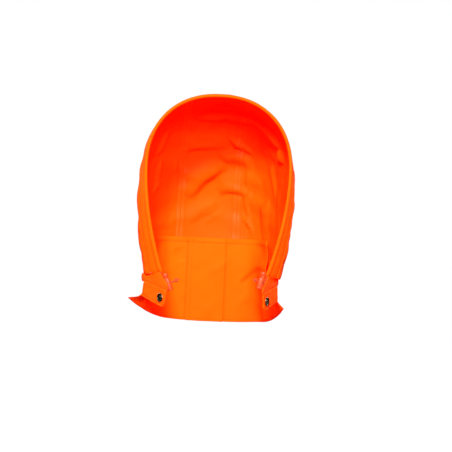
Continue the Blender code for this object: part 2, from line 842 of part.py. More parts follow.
def lock_spring(label, first, last):
    coil = []
    steps = SPRING_TURNS * SPRING_STEPS
    for k in range(steps + 1):
        turn = 2 * math.pi * k / SPRING_STEPS
        height = first + (last - first) * k / steps
        coil.append(Vector((SPRING_RADIUS * math.cos(turn), SPRING_RADIUS * math.sin(turn), height)))
    return add_tube(f"cord_lock_spring_{label}", coil, SPRING_WIRE, spring_steel(), sides=1)


def make_lock(side, label):
    bottom, top = -LOCK_BELOW, LOCK_HEIGHT - LOCK_BELOW
    foot = bottom + PLUNGER_FOOT
    pieces = lock_body(label, bottom, top)
    pieces += lock_plunger(label, foot, top + PLUNGER_TRAVEL + HEAD_CLEAR)
    pieces.append(lock_spring(label, bottom + BORE_FLOOR + GAP + SPRING_WIRE, foot - GAP - SPRING_WIRE))
    place = lock_matrix(side)
    for piece in pieces:
        piece.matrix_world = place @ piece.matrix_world


# ---------------------------------------------------------------- the hood


def make_hood():
    clear_scene()
    make_panels()
    make_seam_tapes()
    make_hem()
    make_drawcord()
    make_neck()
    make_bands()
    for side, label in SIDES:
        make_tab(side, label)
        make_lock(side, label)


make_hood()
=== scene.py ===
"""The looks of a detachable weatherproof jacket hood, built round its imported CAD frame.

The hood hangs at head height, as on a wearer's head, with its face opening towards -Y. Left and
right are as seen from the front. Sizes are in metres. The surface formulas are the CAD's own, so
every piece of cloth starts at its CAD solid's place. The hood's folds then leave that surface by up
to OUT_MOST and IN_MOST.
"""

import functools
import math

import bmesh
import bpy
import numpy as np
from mathutils import Matrix, Vector


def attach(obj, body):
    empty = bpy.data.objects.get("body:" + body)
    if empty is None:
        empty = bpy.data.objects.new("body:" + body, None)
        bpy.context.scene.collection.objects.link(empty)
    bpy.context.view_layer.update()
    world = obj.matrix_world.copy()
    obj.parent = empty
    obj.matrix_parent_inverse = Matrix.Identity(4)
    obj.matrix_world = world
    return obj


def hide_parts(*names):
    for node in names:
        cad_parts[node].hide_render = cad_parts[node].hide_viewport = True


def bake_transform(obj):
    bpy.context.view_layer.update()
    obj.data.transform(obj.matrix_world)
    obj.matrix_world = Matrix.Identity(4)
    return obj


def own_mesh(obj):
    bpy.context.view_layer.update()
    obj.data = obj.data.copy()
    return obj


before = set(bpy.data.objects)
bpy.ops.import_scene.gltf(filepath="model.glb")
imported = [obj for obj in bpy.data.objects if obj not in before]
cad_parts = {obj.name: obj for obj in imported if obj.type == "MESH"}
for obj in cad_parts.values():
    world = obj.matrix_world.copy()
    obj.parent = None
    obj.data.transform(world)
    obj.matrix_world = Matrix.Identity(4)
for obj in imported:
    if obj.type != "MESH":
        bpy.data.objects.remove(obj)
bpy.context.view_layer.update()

LEFT, RIGHT = -1, 1
SIDES = ((LEFT, "left"), (RIGHT, "right"))
GAP = 0.0004

# ---------------------------------------------------------------- the CAD's sizes

# station from the face opening (0) to the neckline (1): apex y, apex z, foot y, foot z, half width,
# height share of the widest place, half width at the foot, squareness
ARCHES = {
    0.00: (-0.118, -0.0012, -0.122, -0.296, 0.1215, 0.60, 0.0880, 2.20),
    0.12: (-0.090, 0.0008, -0.099, -0.303, 0.1310, 0.43, 0.1100, 2.30),
    0.40: (-0.008, -0.0085, -0.074, -0.305, 0.1275, 0.40, 0.1130, 2.40),
    0.68: (0.076, -0.0660, -0.052, -0.306, 0.1210, 0.36, 0.1125, 2.60),
    0.86: (0.111, -0.1720, -0.036, -0.306, 0.1150, 0.32, 0.1115, 2.80),
    1.00: (0.104, -0.3030, -0.022, -0.306, 0.1085, 0.30, 0.1100, 3.00),
}
CENTER_HALF = 0.053
SHELL_CLOTH = 0.0012
LINING_CLOTH = 0.0008
TAPE_WIDTH = 0.015
HEM_SHARE = 0.085
HEM_THICK = 0.0062
HEM_CROWN_HALF = 0.150
CORD_RADIUS = 0.0015
CORD_FORWARD = 0.0050

# share of the way down: half width at the back corner and at the front end, back y, front end y,
#                        middle z, front end z
FACING_ROWS = {
    LEFT: {
        0.00: (0.0900, 0.1030, 0.0950, 0.030, -0.2415, -0.2415),
        0.35: (0.0880, 0.1020, 0.0955, 0.006, -0.2950, -0.2965),
        0.70: (0.0800, 0.1150, 0.0995, -0.030, -0.3490, -0.3400),
        1.00: (0.0640, 0.1380, 0.1030, -0.058, -0.3950, -0.3460),
    },
    RIGHT: {
        0.00: (0.0900, 0.1034, 0.0950, 0.030, -0.2415, -0.2415),
        0.35: (0.0870, 0.1002, 0.0952, 0.006, -0.2950, -0.2965),
        0.70: (0.0960, 0.1130, 0.0995, -0.030, -0.3490, -0.3400),
        1.00: (0.1060, 0.1240, 0.1030, -0.056, -0.3950, -0.3550),
    },
}
FACING_BEND = 0.0420
FACING_SHARPER = {LEFT: 0.0, RIGHT: 0.026}
FACING_LIFT = {LEFT: 2.0, RIGHT: 3.0}
FACING_CLOTH = 0.0012
FACING_SEAM = 0.0357
FLAP_TOP = 0.45
FLAP_CLOTH = 0.0012

BANDS = {  # in plan, mirrored for the left: the free front end, where it turns back, and its end
    LEFT: ((0.0765, -0.1370), (0.1140, -0.0850), (0.1150, -0.0150)),
    RIGHT: ((0.0785, -0.1385), (0.1085, -0.0850), (0.1145, -0.0150)),
}
BAND_BEND = 0.0120
BAND_TOPS = (  # y and z along its upper edge
    (-0.1400, -0.3230),
    (-0.1190, -0.3015),
    (-0.1130, -0.3010),
    (-0.1060, -0.3030),
    (-0.0960, -0.3042),
    (-0.0700, -0.3060),
    (-0.0500, -0.3068),
    (-0.0100, -0.3070),
)
CREASE_BACK = -0.3150
CREASE_FRONT = -0.3270
TAB_DROP = 0.0300
TAB_RISE = 0.0040
TAB_INSET = 0.0015
TAB_CORNER = 0.0090
TAB_CLOTH = 0.0011
FOLD_AXIS_OUT = 0.0015
STUD_FROM_END = 0.0135
STUD_DROP = 0.0150
STUD_RADIUS = 0.0075
STUD_HOLE = 0.0025

LOCKS = {
    LEFT: dict(at=(-0.0755, -0.1120, -0.3165), cord=(0.88, 0.34, 0.33), lean=(-0.45, 0.0, 1.0)),
    RIGHT: dict(at=(0.0800, -0.1075, -0.3085), cord=(-0.55, 0.82, 0.12), lean=(0.20, 0.0, 1.0)),
}
LOCK_RX = 0.0052
LOCK_RY = 0.0070
LOCK_BELOW = 0.0120
LOCK_HEIGHT = 0.0190
BORE_RADIUS = 0.0041
BORE_FLOOR = 0.0030
CORD_HOLE = 0.0021
PLUNGER_RADIUS = 0.0037
PLUNGER_FOOT = 0.0090
PLUNGER_TRAVEL = 0.0030
HEAD_CLEAR = 0.0012
HEAD_HEIGHT = 0.0058
SPRING_RADIUS = 0.0026
SPRING_WIRE = 0.0003
CORD_STOPS = (-0.0115, -0.0085, -0.0045, 0.0, 0.0045, 0.0085, 0.0130)
CORD_LEAVES = 0.0045
KNOT_RADIUS = 0.0029
KNOT_FLAT = 0.85


# ---------------------------------------------------------------- small helpers


def unit(v):
    return v / np.maximum(np.linalg.norm(v, axis=-1, keepdims=True), 1e-12)


def spline(table, at, column):
    """A smooth value between the table's stations (Catmull-Rom on uneven stations)."""
    stations = sorted(table)
    values = [table[s][column] for s in stations]
    at = min(max(at, stations[0]), stations[-1])
    i = min(max(sum(s <= at for s in stations) - 1, 0), len(stations) - 2)

    def slope(k):
        a, b = max(k - 1, 0), min(k + 1, len(stations) - 1)
        return (values[b] - values[a]) / (stations[b] - stations[a])

    width = stations[i + 1] - stations[i]
    t = (at - stations[i]) / width
    return (
        (2 * t**3 - 3 * t**2 + 1) * values[i]
        + (t**3 - 2 * t**2 + t) * width * slope(i)
        + (3 * t**2 - 2 * t**3) * values[i + 1]
        + (t**3 - t**2) * width * slope(i + 1)
    )


def lengths(line):
    return np.concatenate([[0], np.cumsum(np.linalg.norm(np.diff(line, axis=0), axis=1))])


def along_line(line, distances):
    """Points at these distances along a polyline, run on straight past its ends."""
    marks = lengths(line)
    points = np.stack([np.interp(distances, marks, line[:, k]) for k in range(3)], axis=-1)
    before = np.minimum(distances, 0)[..., None] * unit(line[1] - line[0])
    after = np.maximum(distances - marks[-1], 0)[..., None] * unit(line[-1] - line[-2])
    return points + before + after


def stencil(at, count):
    """Catmull-Rom indices and weights of fractional places in a row of points."""
    base = np.clip(np.floor(at).astype(int), 0, count - 2)
    t = at - base
    weights = np.stack(
        [
            -0.5 * t + t**2 - 0.5 * t**3,
            1 - 2.5 * t**2 + 1.5 * t**3,
            0.5 * t + 2 * t**2 - 1.5 * t**3,
            -0.5 * t**2 + 0.5 * t**3,
        ],
        axis=-1,
    )
    return np.clip(base[..., None] + np.arange(-1, 3), 0, count - 1), weights


def resample(grid, rows, columns):
    """The grid's smooth surface at fractional rows and columns."""
    i, wi = stencil(rows, grid.shape[0])
    j, wj = stencil(columns, grid.shape[1])
    near = grid[i[..., :, None], j[..., None, :]]
    return np.einsum("...a,...b,...abk->...k", wi, wj, near)


def grid_normals(grid, inside):
    """Unit normals of a grid of points, facing away from the point inside."""
    down = np.gradient(grid, axis=0)
    over = np.gradient(grid, axis=1)
    normals = unit(np.cross(down, over))
    middle = np.array([grid.shape[0] // 2, grid.shape[1] // 2])
    outward = grid[middle[0], middle[1]] - np.asarray(inside)
    return normals if np.dot(normals[middle[0], middle[1]], outward) > 0 else -normals


def facing_away(normals, points, inside):
    """The normals, each turned to point away from the point inside."""
    away = np.sum(normals * (points - np.asarray(inside)), axis=-1, keepdims=True)
    return np.where(away < 0, -normals, normals)


def bump(x, width):
    return np.exp(-((x / width) ** 2))


def soft_noise(points, size, seed):
    """Smooth noise from -1 to 1 in space, from a few sine waves in seeded directions."""
    draw = np.random.default_rng(seed)
    total = np.zeros(points.shape[:-1])
    for _ in range(7):
        way = unit(draw.normal(size=3))
        bend = unit(draw.normal(size=3))
        wave = 2 * math.pi / (size * draw.uniform(0.7, 1.5))
        warp = 0.6 * np.sin(points @ bend * wave * 0.6 + draw.uniform(0, 6.3))
        total += np.sin(points @ way * wave + warp + draw.uniform(0, 6.3))
    return total / 4.0


# ---------------------------------------------------------------- the hood's surface

ROWS = 64  # of the simulated surface, from the hem back to the neckline
SIDE_COLUMNS = 60  # on each side panel, and CENTER_COLUMNS on half the centre strip
CENTER_COLUMNS = 12
INSIDE = (0.0, -0.02, -0.18)


@functools.cache
def half_arch(station):
    """One arch from its apex down to its foot on the right."""
    apex_y, apex_z, foot_y, foot_z, half, widest, foot_half, square = (
        spline(ARCHES, station, column) for column in range(8)
    )
    turn = np.linspace(0, math.pi / 2, 73)
    down = np.linspace(0, 1, 37)[1:]
    cosine = np.clip(np.cos(turn), 0, 1)
    x = np.concatenate([half * np.sin(turn) ** (2 / square), half - (half - foot_half) * down**1.8])
    rise = np.concatenate([widest + (1 - widest) * cosine ** (2 / square), widest * (1 - down)])
    return np.stack([x, foot_y + (apex_y - foot_y) * rise, foot_z + (apex_z - foot_z) * rise], axis=-1)


def half_length(station):
    return lengths(half_arch(station))[-1]


def over_arch(station, reach):
    """Points over one arch at signed distances from its apex."""
    points = along_line(half_arch(station), np.abs(reach))
    points[..., 0] *= np.where(reach < 0, -1, 1)
    return points


def reach_of(c, total):
    """The distance from the apex at column c: up to 1 on the centre strip, and 1 to 2 on a side panel."""
    side = CENTER_HALF + (np.abs(c) - 1) * (total - CENTER_HALF)
    return np.where(np.abs(c) <= 1, c * CENTER_HALF, np.sign(c) * side)


def column_index(c):
    side = CENTER_COLUMNS + (np.abs(c) - 1) * SIDE_COLUMNS
    return SIDE_COLUMNS + CENTER_COLUMNS + np.where(np.abs(c) <= 1, c * CENTER_COLUMNS, np.sign(c) * side)


def row_index(station):
    return (station - HEM_SHARE) / (1 - HEM_SHARE) * (ROWS - 1)


def plain_hood():
    """The CAD's surface as a grid of points, hem to neckline by left foot to right foot."""
    sides = np.linspace(1, 2, SIDE_COLUMNS + 1)
    center = np.linspace(-1, 1, 2 * CENTER_COLUMNS + 1)
    columns = np.concatenate([-sides[:0:-1], center, sides[1:]])
    stations = np.linspace(HEM_SHARE, 1, ROWS)
    return np.stack([over_arch(s, reach_of(columns, half_length(s))) for s in stations])


def surface_map(grid):
    """Distances over the surface: across from its middle line, and down from the hem."""
    across = np.cumsum(np.linalg.norm(np.diff(grid, axis=1, prepend=grid[:, :1]), axis=-1), axis=1)
    down = np.cumsum(np.linalg.norm(np.diff(grid, axis=0, prepend=grid[:1]), axis=-1), axis=0)
    middle = grid.shape[1] // 2
    return np.stack([across - across[:, middle : middle + 1], down], axis=-1)


def fold(place, start, end, left, right, depth):
    """How far a fold from start to end moves each point: left and right are its widths on both sides."""
    way = end - start
    share = (place - start) @ way / (way @ way)
    off = place - start - np.clip(share, 0, 1)[..., None] * way
    on_right = way[0] * off[..., 1] - way[1] * off[..., 0] > 0
    fade = np.clip(1 - np.abs(2 * share - 1) ** 2.4, 0, 1)
    return depth * bump(np.linalg.norm(off, axis=-1), np.where(on_right, right, left)) * fade


FOLD_BEND = 0.0030  # how far a fold's line wanders


def folded(grid, folds, finer=1):
    """The depth of all these folds at each point, fading out at the hem and at the neckline."""
    bends = [soft_noise(grid, 0.060, seed) + 0.4 * soft_noise(grid, 0.022, seed + 1) for seed in (11, 13)]
    place = surface_map(grid) + FOLD_BEND * np.stack(bends, axis=-1)
    depth = np.zeros(grid.shape[:2])
    for start_s, start_c, end_s, end_c, left, right, deep in folds:
        rows = row_index(np.array([start_s, end_s])) * finer
        columns = column_index(np.array([start_c, end_c])) * finer
        start, end = resample(place, rows, columns)
        depth += fold(place, start, end, left, right, deep)
    row = np.linspace(0, ROWS - 1, grid.shape[0])
    return depth * (np.clip(row / 4, 0, 1) * np.clip((ROWS - 1 - row) / 2, 0, 1))[:, None]


# Folds of the slack cloth: station and column of both ends, width on the left and on the right of the
# way between them as seen from inside, and depth, inwards positive. SAGS are broad, and FOLDS sharp.
SAGS = (
    (0.62, -0.90, 0.66, 0.60, 0.022, 0.014, 0.0060),
    (0.80, -0.90, 0.78, 0.30, 0.030, 0.016, 0.0050),
    (0.45, -1.35, 0.70, -1.45, 0.014, 0.010, 0.0045),
    (0.50, 1.42, 0.75, 1.50, 0.014, 0.010, 0.0045),
    (0.60, 1.60, 0.85, 1.65, 0.016, 0.012, 0.0035),
    (0.55, -1.60, 0.80, -1.70, 0.014, 0.014, 0.0035),
)
FOLDS = (
    (0.505, -0.70, 0.425, 1.10, 0.0140, 0.0040, 0.0180),  # the ceiling's long fold, down to the right
    (0.445, 0.75, 0.325, 1.31, 0.0110, 0.0040, 0.0150),
    (0.395, -0.05, 0.380, 0.60, 0.0050, 0.0030, 0.0045),
    (0.345, 1.285, 0.425, 1.345, 0.0075, 0.0075, 0.0095),  # a bulge beside the right of the hem
    (0.650, 0.60, 0.668, 1.02, 0.0050, 0.0030, 0.0055),  # crumples round the right seam's bend
    (0.672, 0.66, 0.666, 1.05, 0.0040, 0.0030, 0.0050),
    (0.635, 0.98, 0.675, 0.84, 0.0040, 0.0028, 0.0045),
    (0.690, 0.70, 0.680, 1.10, 0.0050, 0.0030, 0.0055),
    (0.738, 0.25, 0.722, 1.10, 0.0080, 0.0110, 0.0095),  # the small square pocket of slack
    (0.838, 0.30, 0.824, 1.10, 0.0150, 0.0035, 0.0095),
    (0.695, -1.00, 0.690, 0.55, 0.0200, 0.0080, 0.0100),  # the back's upper ledge
    (0.850, -0.80, 0.755, 0.50, 0.0280, 0.0100, 0.0150),  # the back's diagonal ledge
    (0.905, -0.75, 0.872, 0.35, 0.0200, 0.0090, 0.0060),
    (0.888, -0.45, 0.862, 0.40, 0.0040, 0.0030, 0.0030),
    (0.910, -0.20, 0.885, 0.65, 0.0040, 0.0030, 0.0030),
    (0.700, 1.06, 0.912, 1.12, 0.0060, 0.0040, 0.0040),  # the right wall
    (0.620, 1.27, 0.712, 1.42, 0.0100, 0.0060, 0.0065),
    (0.780, 1.35, 0.900, 1.30, 0.0090, 0.0060, 0.0045),
    (0.892, 1.05, 0.918, 1.20, 0.0060, 0.0025, 0.0050),
    (0.675, -1.225, 0.755, -1.235, 0.0060, 0.0060, 0.0075),  # the left wall
    (0.778, -1.31, 0.764, -1.20, 0.0060, 0.0030, 0.0070),
    (0.720, -1.06, 0.820, -1.05, 0.0040, 0.0040, 0.0035),
    (0.500, -1.12, 0.620, -1.24, 0.0100, 0.0050, 0.0060),
)
OUT_MOST = 0.0035  # how far cloth may move outwards, and IN_MOST inwards, from the CAD's surface
IN_MOST = 0.0120
FACING_CLEAR = -0.228  # below this height the facing leaves the cloth little room inwards
FACING_ROOM = 0.0010


def room_inwards(points):
    """The most that each point may move inwards: all of IN_MOST, but little by the facing and the hem."""
    low = np.clip((points[..., 2] - FACING_CLEAR) / 0.022, 0, 1)
    edge = np.clip(np.linspace(0, ROWS - 1, points.shape[0]) / 4, 0, 1)[:, None]
    return (FACING_ROOM + (IN_MOST - FACING_ROOM) * low) * edge


def sculpted(grid):
    normals = grid_normals(grid, INSIDE)
    depth = 0.0020 * soft_noise(grid, 0.085, 3) + 0.0014 * soft_noise(grid, 0.040, 4) + folded(grid, SAGS)
    depth = np.clip(depth, -OUT_MOST, room_inwards(grid))
    depth[:2] = 0
    depth[-1] = 0
    depth[:, [0, -1]] = 0
    return grid - normals * depth[..., None]


CLOTH_FRAMES = 26
CLOTH_SPARE = 0.015  # share of spare length, which the cloth takes up in wrinkles
CLOTH_SAG = 0.010  # share of gravity, kept low so that the cloth stays near its CAD solids
CLOTH_SHARE = 0.55  # of the settled shape that is kept


def settled(start):
    """The surface after a cloth simulation: pinned round its edge, and loosely at the two seams."""
    rows, columns = start.shape[:2]
    index = np.arange(rows * columns).reshape(rows, columns)
    faces = np.stack([index[:-1, :-1], index[:-1, 1:], index[1:, 1:], index[1:, :-1]], axis=-1)
    mesh = bpy.data.meshes.new("settling")
    mesh.from_pydata(start.reshape(-1, 3).tolist(), [], faces.reshape(-1, 4).tolist())
    cloth = bpy.data.objects.new("settling", mesh)
    bpy.context.scene.collection.objects.link(cloth)
    pins = cloth.vertex_groups.new(name="pins")
    edges = np.concatenate([index[:2].ravel(), index[-1], index[:, 0], index[:, -1]])
    pins.add(np.unique(edges).tolist(), 1.0, "REPLACE")
    seams = [SIDE_COLUMNS, SIDE_COLUMNS + 2 * CENTER_COLUMNS]
    pins.add(np.setdiff1d(index[:, seams], edges).tolist(), 0.25, "REPLACE")
    settings = cloth.modifiers.new("cloth", "CLOTH").settings
    settings.quality = 7
    settings.mass = 0.25
    settings.tension_stiffness = 12
    settings.compression_stiffness = 12
    settings.shear_stiffness = 4
    settings.bending_stiffness = 0.35
    settings.vertex_group_mass = "pins"
    settings.pin_stiffness = 0.6
    settings.shrink_min = -CLOTH_SPARE
    settings.effector_weights.gravity = CLOTH_SAG
    scene = bpy.context.scene
    scene.frame_start, scene.frame_end = 1, CLOTH_FRAMES
    for step in range(1, CLOTH_FRAMES + 1):
        scene.frame_set(step)
    shape = cloth.evaluated_get(bpy.context.evaluated_depsgraph_get()).to_mesh()
    moved = np.empty(rows * columns * 3, np.float32)
    shape.vertices.foreach_get("co", moved)
    bpy.data.objects.remove(cloth)
    scene.frame_set(1)
    return moved.reshape(rows, columns, 3).astype(float)


FINER = 3  # the folds are drawn on a grid this much finer than the simulated one


def finer_grid(grid):
    rows = np.linspace(0, grid.shape[0] - 1, FINER * (grid.shape[0] - 1) + 1)
    columns = np.linspace(0, grid.shape[1] - 1, FINER * (grid.shape[1] - 1) + 1)
    return resample(grid, *np.meshgrid(rows, columns, indexing="ij"))


def limited(depth, most_in, most_out):
    """The depth, eased so that it never passes either limit."""
    inwards = most_in * np.tanh(np.maximum(depth, 0) / np.maximum(most_in, 1e-6))
    return inwards - most_out * np.tanh(np.maximum(-depth, 0) / most_out)


def with_folds(loose, plain):
    """Adds the sharp folds, and keeps each point near the CAD's surface along its normal."""
    normals = grid_normals(plain, INSIDE)
    shift = CLOTH_SHARE * (loose - plain)
    depth = -(shift * normals).sum(-1)
    along = shift + normals * depth[..., None]
    far = np.maximum(np.linalg.norm(along, axis=-1, keepdims=True), 1e-9)
    along *= np.minimum(far, 0.004) / far
    depth = limited(depth + folded(plain, FOLDS, FINER), room_inwards(plain), OUT_MOST)
    return plain - normals * depth[..., None] + along


@functools.cache
def hood_surface():
    plain = plain_hood()
    shaped = sculpted(plain)
    loose = settled(shaped)
    return with_folds(finer_grid(loose), finer_grid(plain))


def hood_at(stations, c):
    """The settled surface at stations (one each row) and columns c."""
    rows = np.broadcast_to(row_index(np.asarray(stations))[:, None], c.shape)
    return resample(hood_surface(), rows * FINER, column_index(c) * FINER)


# ---------------------------------------------------------------- pieces and meshes

WEAVE = "weave"  # the point attribute that says where each point lies on its flat cloth, in metres


def add_piece(name, points, faces, look, weave=None, sharp=50):
    mesh = bpy.data.meshes.new(name)
    mesh.from_pydata(np.asarray(points).reshape(-1, 3).tolist(), [], [tuple(f) for f in faces])
    build = bmesh.new()
    build.from_mesh(mesh)
    bmesh.ops.recalc_face_normals(build, faces=build.faces)
    build.to_mesh(mesh)
    build.free()
    if weave is not None:
        place = mesh.attributes.new(WEAVE, "FLOAT_VECTOR", "POINT")
        place.data.foreach_set("vector", np.asarray(weave, np.float32).ravel())
    mesh.materials.append(look)
    mesh.shade_smooth()
    mesh.set_sharp_from_angle(angle=math.radians(sharp))
    piece = bpy.data.objects.new(name, mesh)
    bpy.context.scene.collection.objects.link(piece)
    return piece


def finish_piece(piece, body, slot, *nodes):
    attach(piece, body)
    if nodes:
        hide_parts(*nodes)
    return piece


def rim_of(rows, columns):
    """The indices round the edge of a grid, in order."""
    index = np.arange(rows * columns).reshape(rows, columns)
    return np.concatenate([index[0], index[1:, -1], index[-1, -2::-1], index[-2:0:-1, 0]])


def cloth_mesh(top, low, weave):
    """A closed sheet between two grids of points, with a rounded edge."""
    rows, columns = top.shape[:2]
    count = rows * columns
    index = np.arange(count).reshape(rows, columns)
    faces = np.stack([index[:-1, :-1], index[1:, :-1], index[1:, 1:], index[:-1, 1:]], axis=-1)
    faces = faces.reshape(-1, 4)
    rim = rim_of(rows, columns)
    flat_top, flat_low = top.reshape(-1, 3), low.reshape(-1, 3)
    middle = (flat_top[rim] + flat_low[rim]) / 2
    inner = np.clip(np.stack(np.divmod(rim, columns), axis=-1), 1, [rows - 2, columns - 2])
    core = (top[inner[:, 0], inner[:, 1]] + low[inner[:, 0], inner[:, 1]]) / 2
    thick = np.linalg.norm(flat_top[rim] - flat_low[rim], axis=-1, keepdims=True)
    middle = middle + unit(middle - core) * 0.35 * thick
    ring = 2 * count + np.arange(len(rim))
    following = np.roll(ring, -1)
    after = np.roll(rim, -1)
    upper = np.stack([rim, ring, following, after], axis=-1)
    lower = np.stack([ring, rim + count, after + count, following], axis=-1)
    points = np.concatenate([flat_top, flat_low, middle])
    flat_weave = np.asarray(weave, float).reshape(-1, 3)
    places = np.concatenate([flat_weave, flat_weave, flat_weave[rim]])
    return points, np.concatenate([faces, faces[:, ::-1] + count, upper, lower]), places


def cloth_piece(name, top, low, weave, look):
    points, faces, places = cloth_mesh(top, low, weave)
    return add_piece(name, points, faces, look, weave=places)


def weave_of(grid):
    """Flat places for a grid of points: distances over it from its middle column, and down it."""
    over = np.linalg.norm(np.diff(grid, axis=1), axis=-1)
    over = np.concatenate([np.zeros((grid.shape[0], 1)), np.cumsum(over, axis=1)], axis=1)
    over -= over[:, [grid.shape[1] // 2]]
    down = np.linalg.norm(np.diff(grid, axis=0), axis=-1).mean(axis=1)
    down = np.concatenate([[0], np.cumsum(down)])
    return np.stack([over, np.broadcast_to(down[:, None], over.shape), np.zeros_like(over)], axis=-1)


def tube_rings(line, radius, around):
    """Rings round a polyline, kept from twisting. The radius is one number or one for each point."""
    tangents = unit(np.gradient(line, axis=0))
    across = [unit(np.cross(tangents[0], [0.0, 0.0, 1.0]))]
    for now in tangents[1:]:
        carried = across[-1] - now * np.dot(across[-1], now)
        across.append(unit(carried))
    across = np.array(across)
    other = np.cross(tangents, across)
    turn = np.linspace(0, 2 * math.pi, around, endpoint=False)
    size = np.broadcast_to(np.asarray(radius, float).reshape(-1, 1, 1), (len(line), 1, 1))
    spokes = np.cos(turn)[None, :, None] * across[:, None] + np.sin(turn)[None, :, None] * other[:, None]
    return line[:, None] + size * spokes, spokes


def ring_faces(rings, around, start=0, closed=False):
    index = start + np.arange(rings * around).reshape(rings, around)
    after = np.roll(index, -1, axis=1)
    last = rings if closed else rings - 1
    low, high = index[:last], np.roll(index, -1, axis=0)[:last]
    return np.stack([low, after[:last], np.roll(after, -1, axis=0)[:last], high], axis=-1).reshape(-1, 4)


def capped_tube(rings):
    """Points and faces of a tube of rings with a fan at each end."""
    count, around = rings.shape[:2]
    faces = [tuple(f) for f in ring_faces(count, around)]
    points = np.concatenate([rings.reshape(-1, 3), [rings[0].mean(axis=0)], [rings[-1].mean(axis=0)]])
    for k in range(around):
        after = (k + 1) % around
        faces.append((count * around, after, k))
        faces.append((count * around + 1, (count - 1) * around + k, (count - 1) * around + after))
    return points, faces


def join_parts(parts):
    """One list of points and faces from several."""
    points, faces, start = [], [], 0
    for some, lists in parts:
        points.append(np.asarray(some))
        faces += [tuple(int(i) + start for i in face) for face in lists]
        start += len(some)
    return np.concatenate(points), faces


# ---------------------------------------------------------------- stitching

STITCH = 0.0022
STITCH_PITCH = 0.0030
THREAD = 0.00026


def stitch_row(line, normals):
    """Small capsules along a line of points that lies on the cloth."""
    marks = lengths(line)
    count = int(marks[-1] / STITCH_PITCH)
    parts = []
    for k in range(count):
        at = (k + 0.5) * marks[-1] / count
        stops = at + STITCH * np.array([-0.5, -0.36, 0.0, 0.36, 0.5])
        run = along_line(line, stops)
        out = unit(np.array([np.interp(at, marks, normals[:, i]) for i in range(3)]))
        lift = THREAD * np.array([-1.1, 0.1, 0.75, 0.1, -1.1])
        size = THREAD * np.array([0.35, 0.85, 1.0, 0.85, 0.35])
        rings, _ = tube_rings(run + out * lift[:, None], size, 6)
        parts.append(capped_tube(rings))
    return parts


def stitching(name, rows, body="root"):
    """One piece that holds rows of stitches, each a (line, normals) pair."""
    parts = [part for line, normals in rows for part in stitch_row(line, normals)]
    points, faces = join_parts(parts)
    piece = add_piece(name, points, faces, thread())
    if body:
        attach(piece, body)
    return piece


# ---------------------------------------------------------------- materials


def shader_of(name, color, roughness, metallic=0.0):
    made = bpy.data.materials.new(name)
    made.use_nodes = True
    shader = made.node_tree.nodes["Principled BSDF"]
    shader.inputs["Base Color"].default_value = (*color, 1.0)
    shader.inputs["Roughness"].default_value = roughness
    shader.inputs["Metallic"].default_value = metallic
    return made, made.node_tree, shader


def node(tree, kind, inputs=(), **settings):
    """A new node. inputs are (name or index, value or socket) pairs."""
    made = tree.nodes.new(kind)
    for key, value in settings.items():
        setattr(made, key, value)
    for key, value in inputs:
        if isinstance(value, bpy.types.NodeSocket):
            tree.links.new(value, made.inputs[key])
        else:
            made.inputs[key].default_value = value
    return made


def math_node(tree, operation, a, b=0.0):
    return node(tree, "ShaderNodeMath", [(0, a), (1, b)], operation=operation).outputs[0]


def mix_color(tree, share, a, b):
    made = node(tree, "ShaderNodeMix", data_type="RGBA")
    for index, value in ((0, share), (6, a), (7, b)):
        if isinstance(value, bpy.types.NodeSocket):
            tree.links.new(value, made.inputs[index])
        else:
            made.inputs[index].default_value = value if index == 0 else (*value, 1.0)
    return made.outputs[2]


def spread(tree, value, low, high):
    """The value's range from low to high, stretched to 0 to 1."""
    inputs = [("Value", value), ("From Min", low), ("From Max", high)]
    return node(tree, "ShaderNodeMapRange", inputs).outputs[0]


def noise(tree, at, scale, detail=2.0, rough=0.5):
    inputs = [("Vector", at), ("Scale", scale), ("Detail", detail), ("Roughness", rough)]
    return node(tree, "ShaderNodeTexNoise", inputs).outputs[0]


def bands(tree, at, scale, distortion, way, more=()):
    inputs = [("Vector", at), ("Scale", scale), ("Distortion", distortion), *more]
    made = node(tree, "ShaderNodeTexWave", inputs, wave_type="BANDS", bands_direction=way)
    return made.outputs["Fac"]


def flat_place(tree):
    return node(tree, "ShaderNodeAttribute", attribute_name=WEAVE).outputs["Vector"]


def solid_place(tree):
    return node(tree, "ShaderNodeTexCoord").outputs["Object"]


def weighted(tree, *terms):
    """The sum of (value, weight) terms."""
    parts = [math_node(tree, "MULTIPLY", value, weight) for value, weight in terms]
    return functools.reduce(lambda a, b: math_node(tree, "ADD", a, b), parts)


def color_by(tree, shader, color):
    tree.links.new(color, shader.inputs["Base Color"])


def rough_by(tree, shader, value, low, high):
    """Roughness that goes from low to high with the value."""
    inputs = [("Value", value), ("To Min", low), ("To Max", high)]
    tree.links.new(node(tree, "ShaderNodeMapRange", inputs).outputs[0], shader.inputs["Roughness"])


def bump_of(tree, shader, height, distance, strength=1.0):
    inputs = [("Strength", strength), ("Distance", distance), ("Height", height)]
    made = node(tree, "ShaderNodeBump", inputs)
    tree.links.new(made.outputs[0], shader.inputs["Normal"])


# Painted glow: a red emission that ignores the light, lifting the shade of the cloth, thread and tape to
# saturated red.
def painted_glow(shader):
    shader.inputs["Emission Color"].default_value = (*PAINTED_RED_GLOW, 1.0)
    shader.inputs["Emission Strength"].default_value = PAINTED_GLOW_STRENGTH


TWILL_SLANT = 58  # degrees of the weave's diagonal


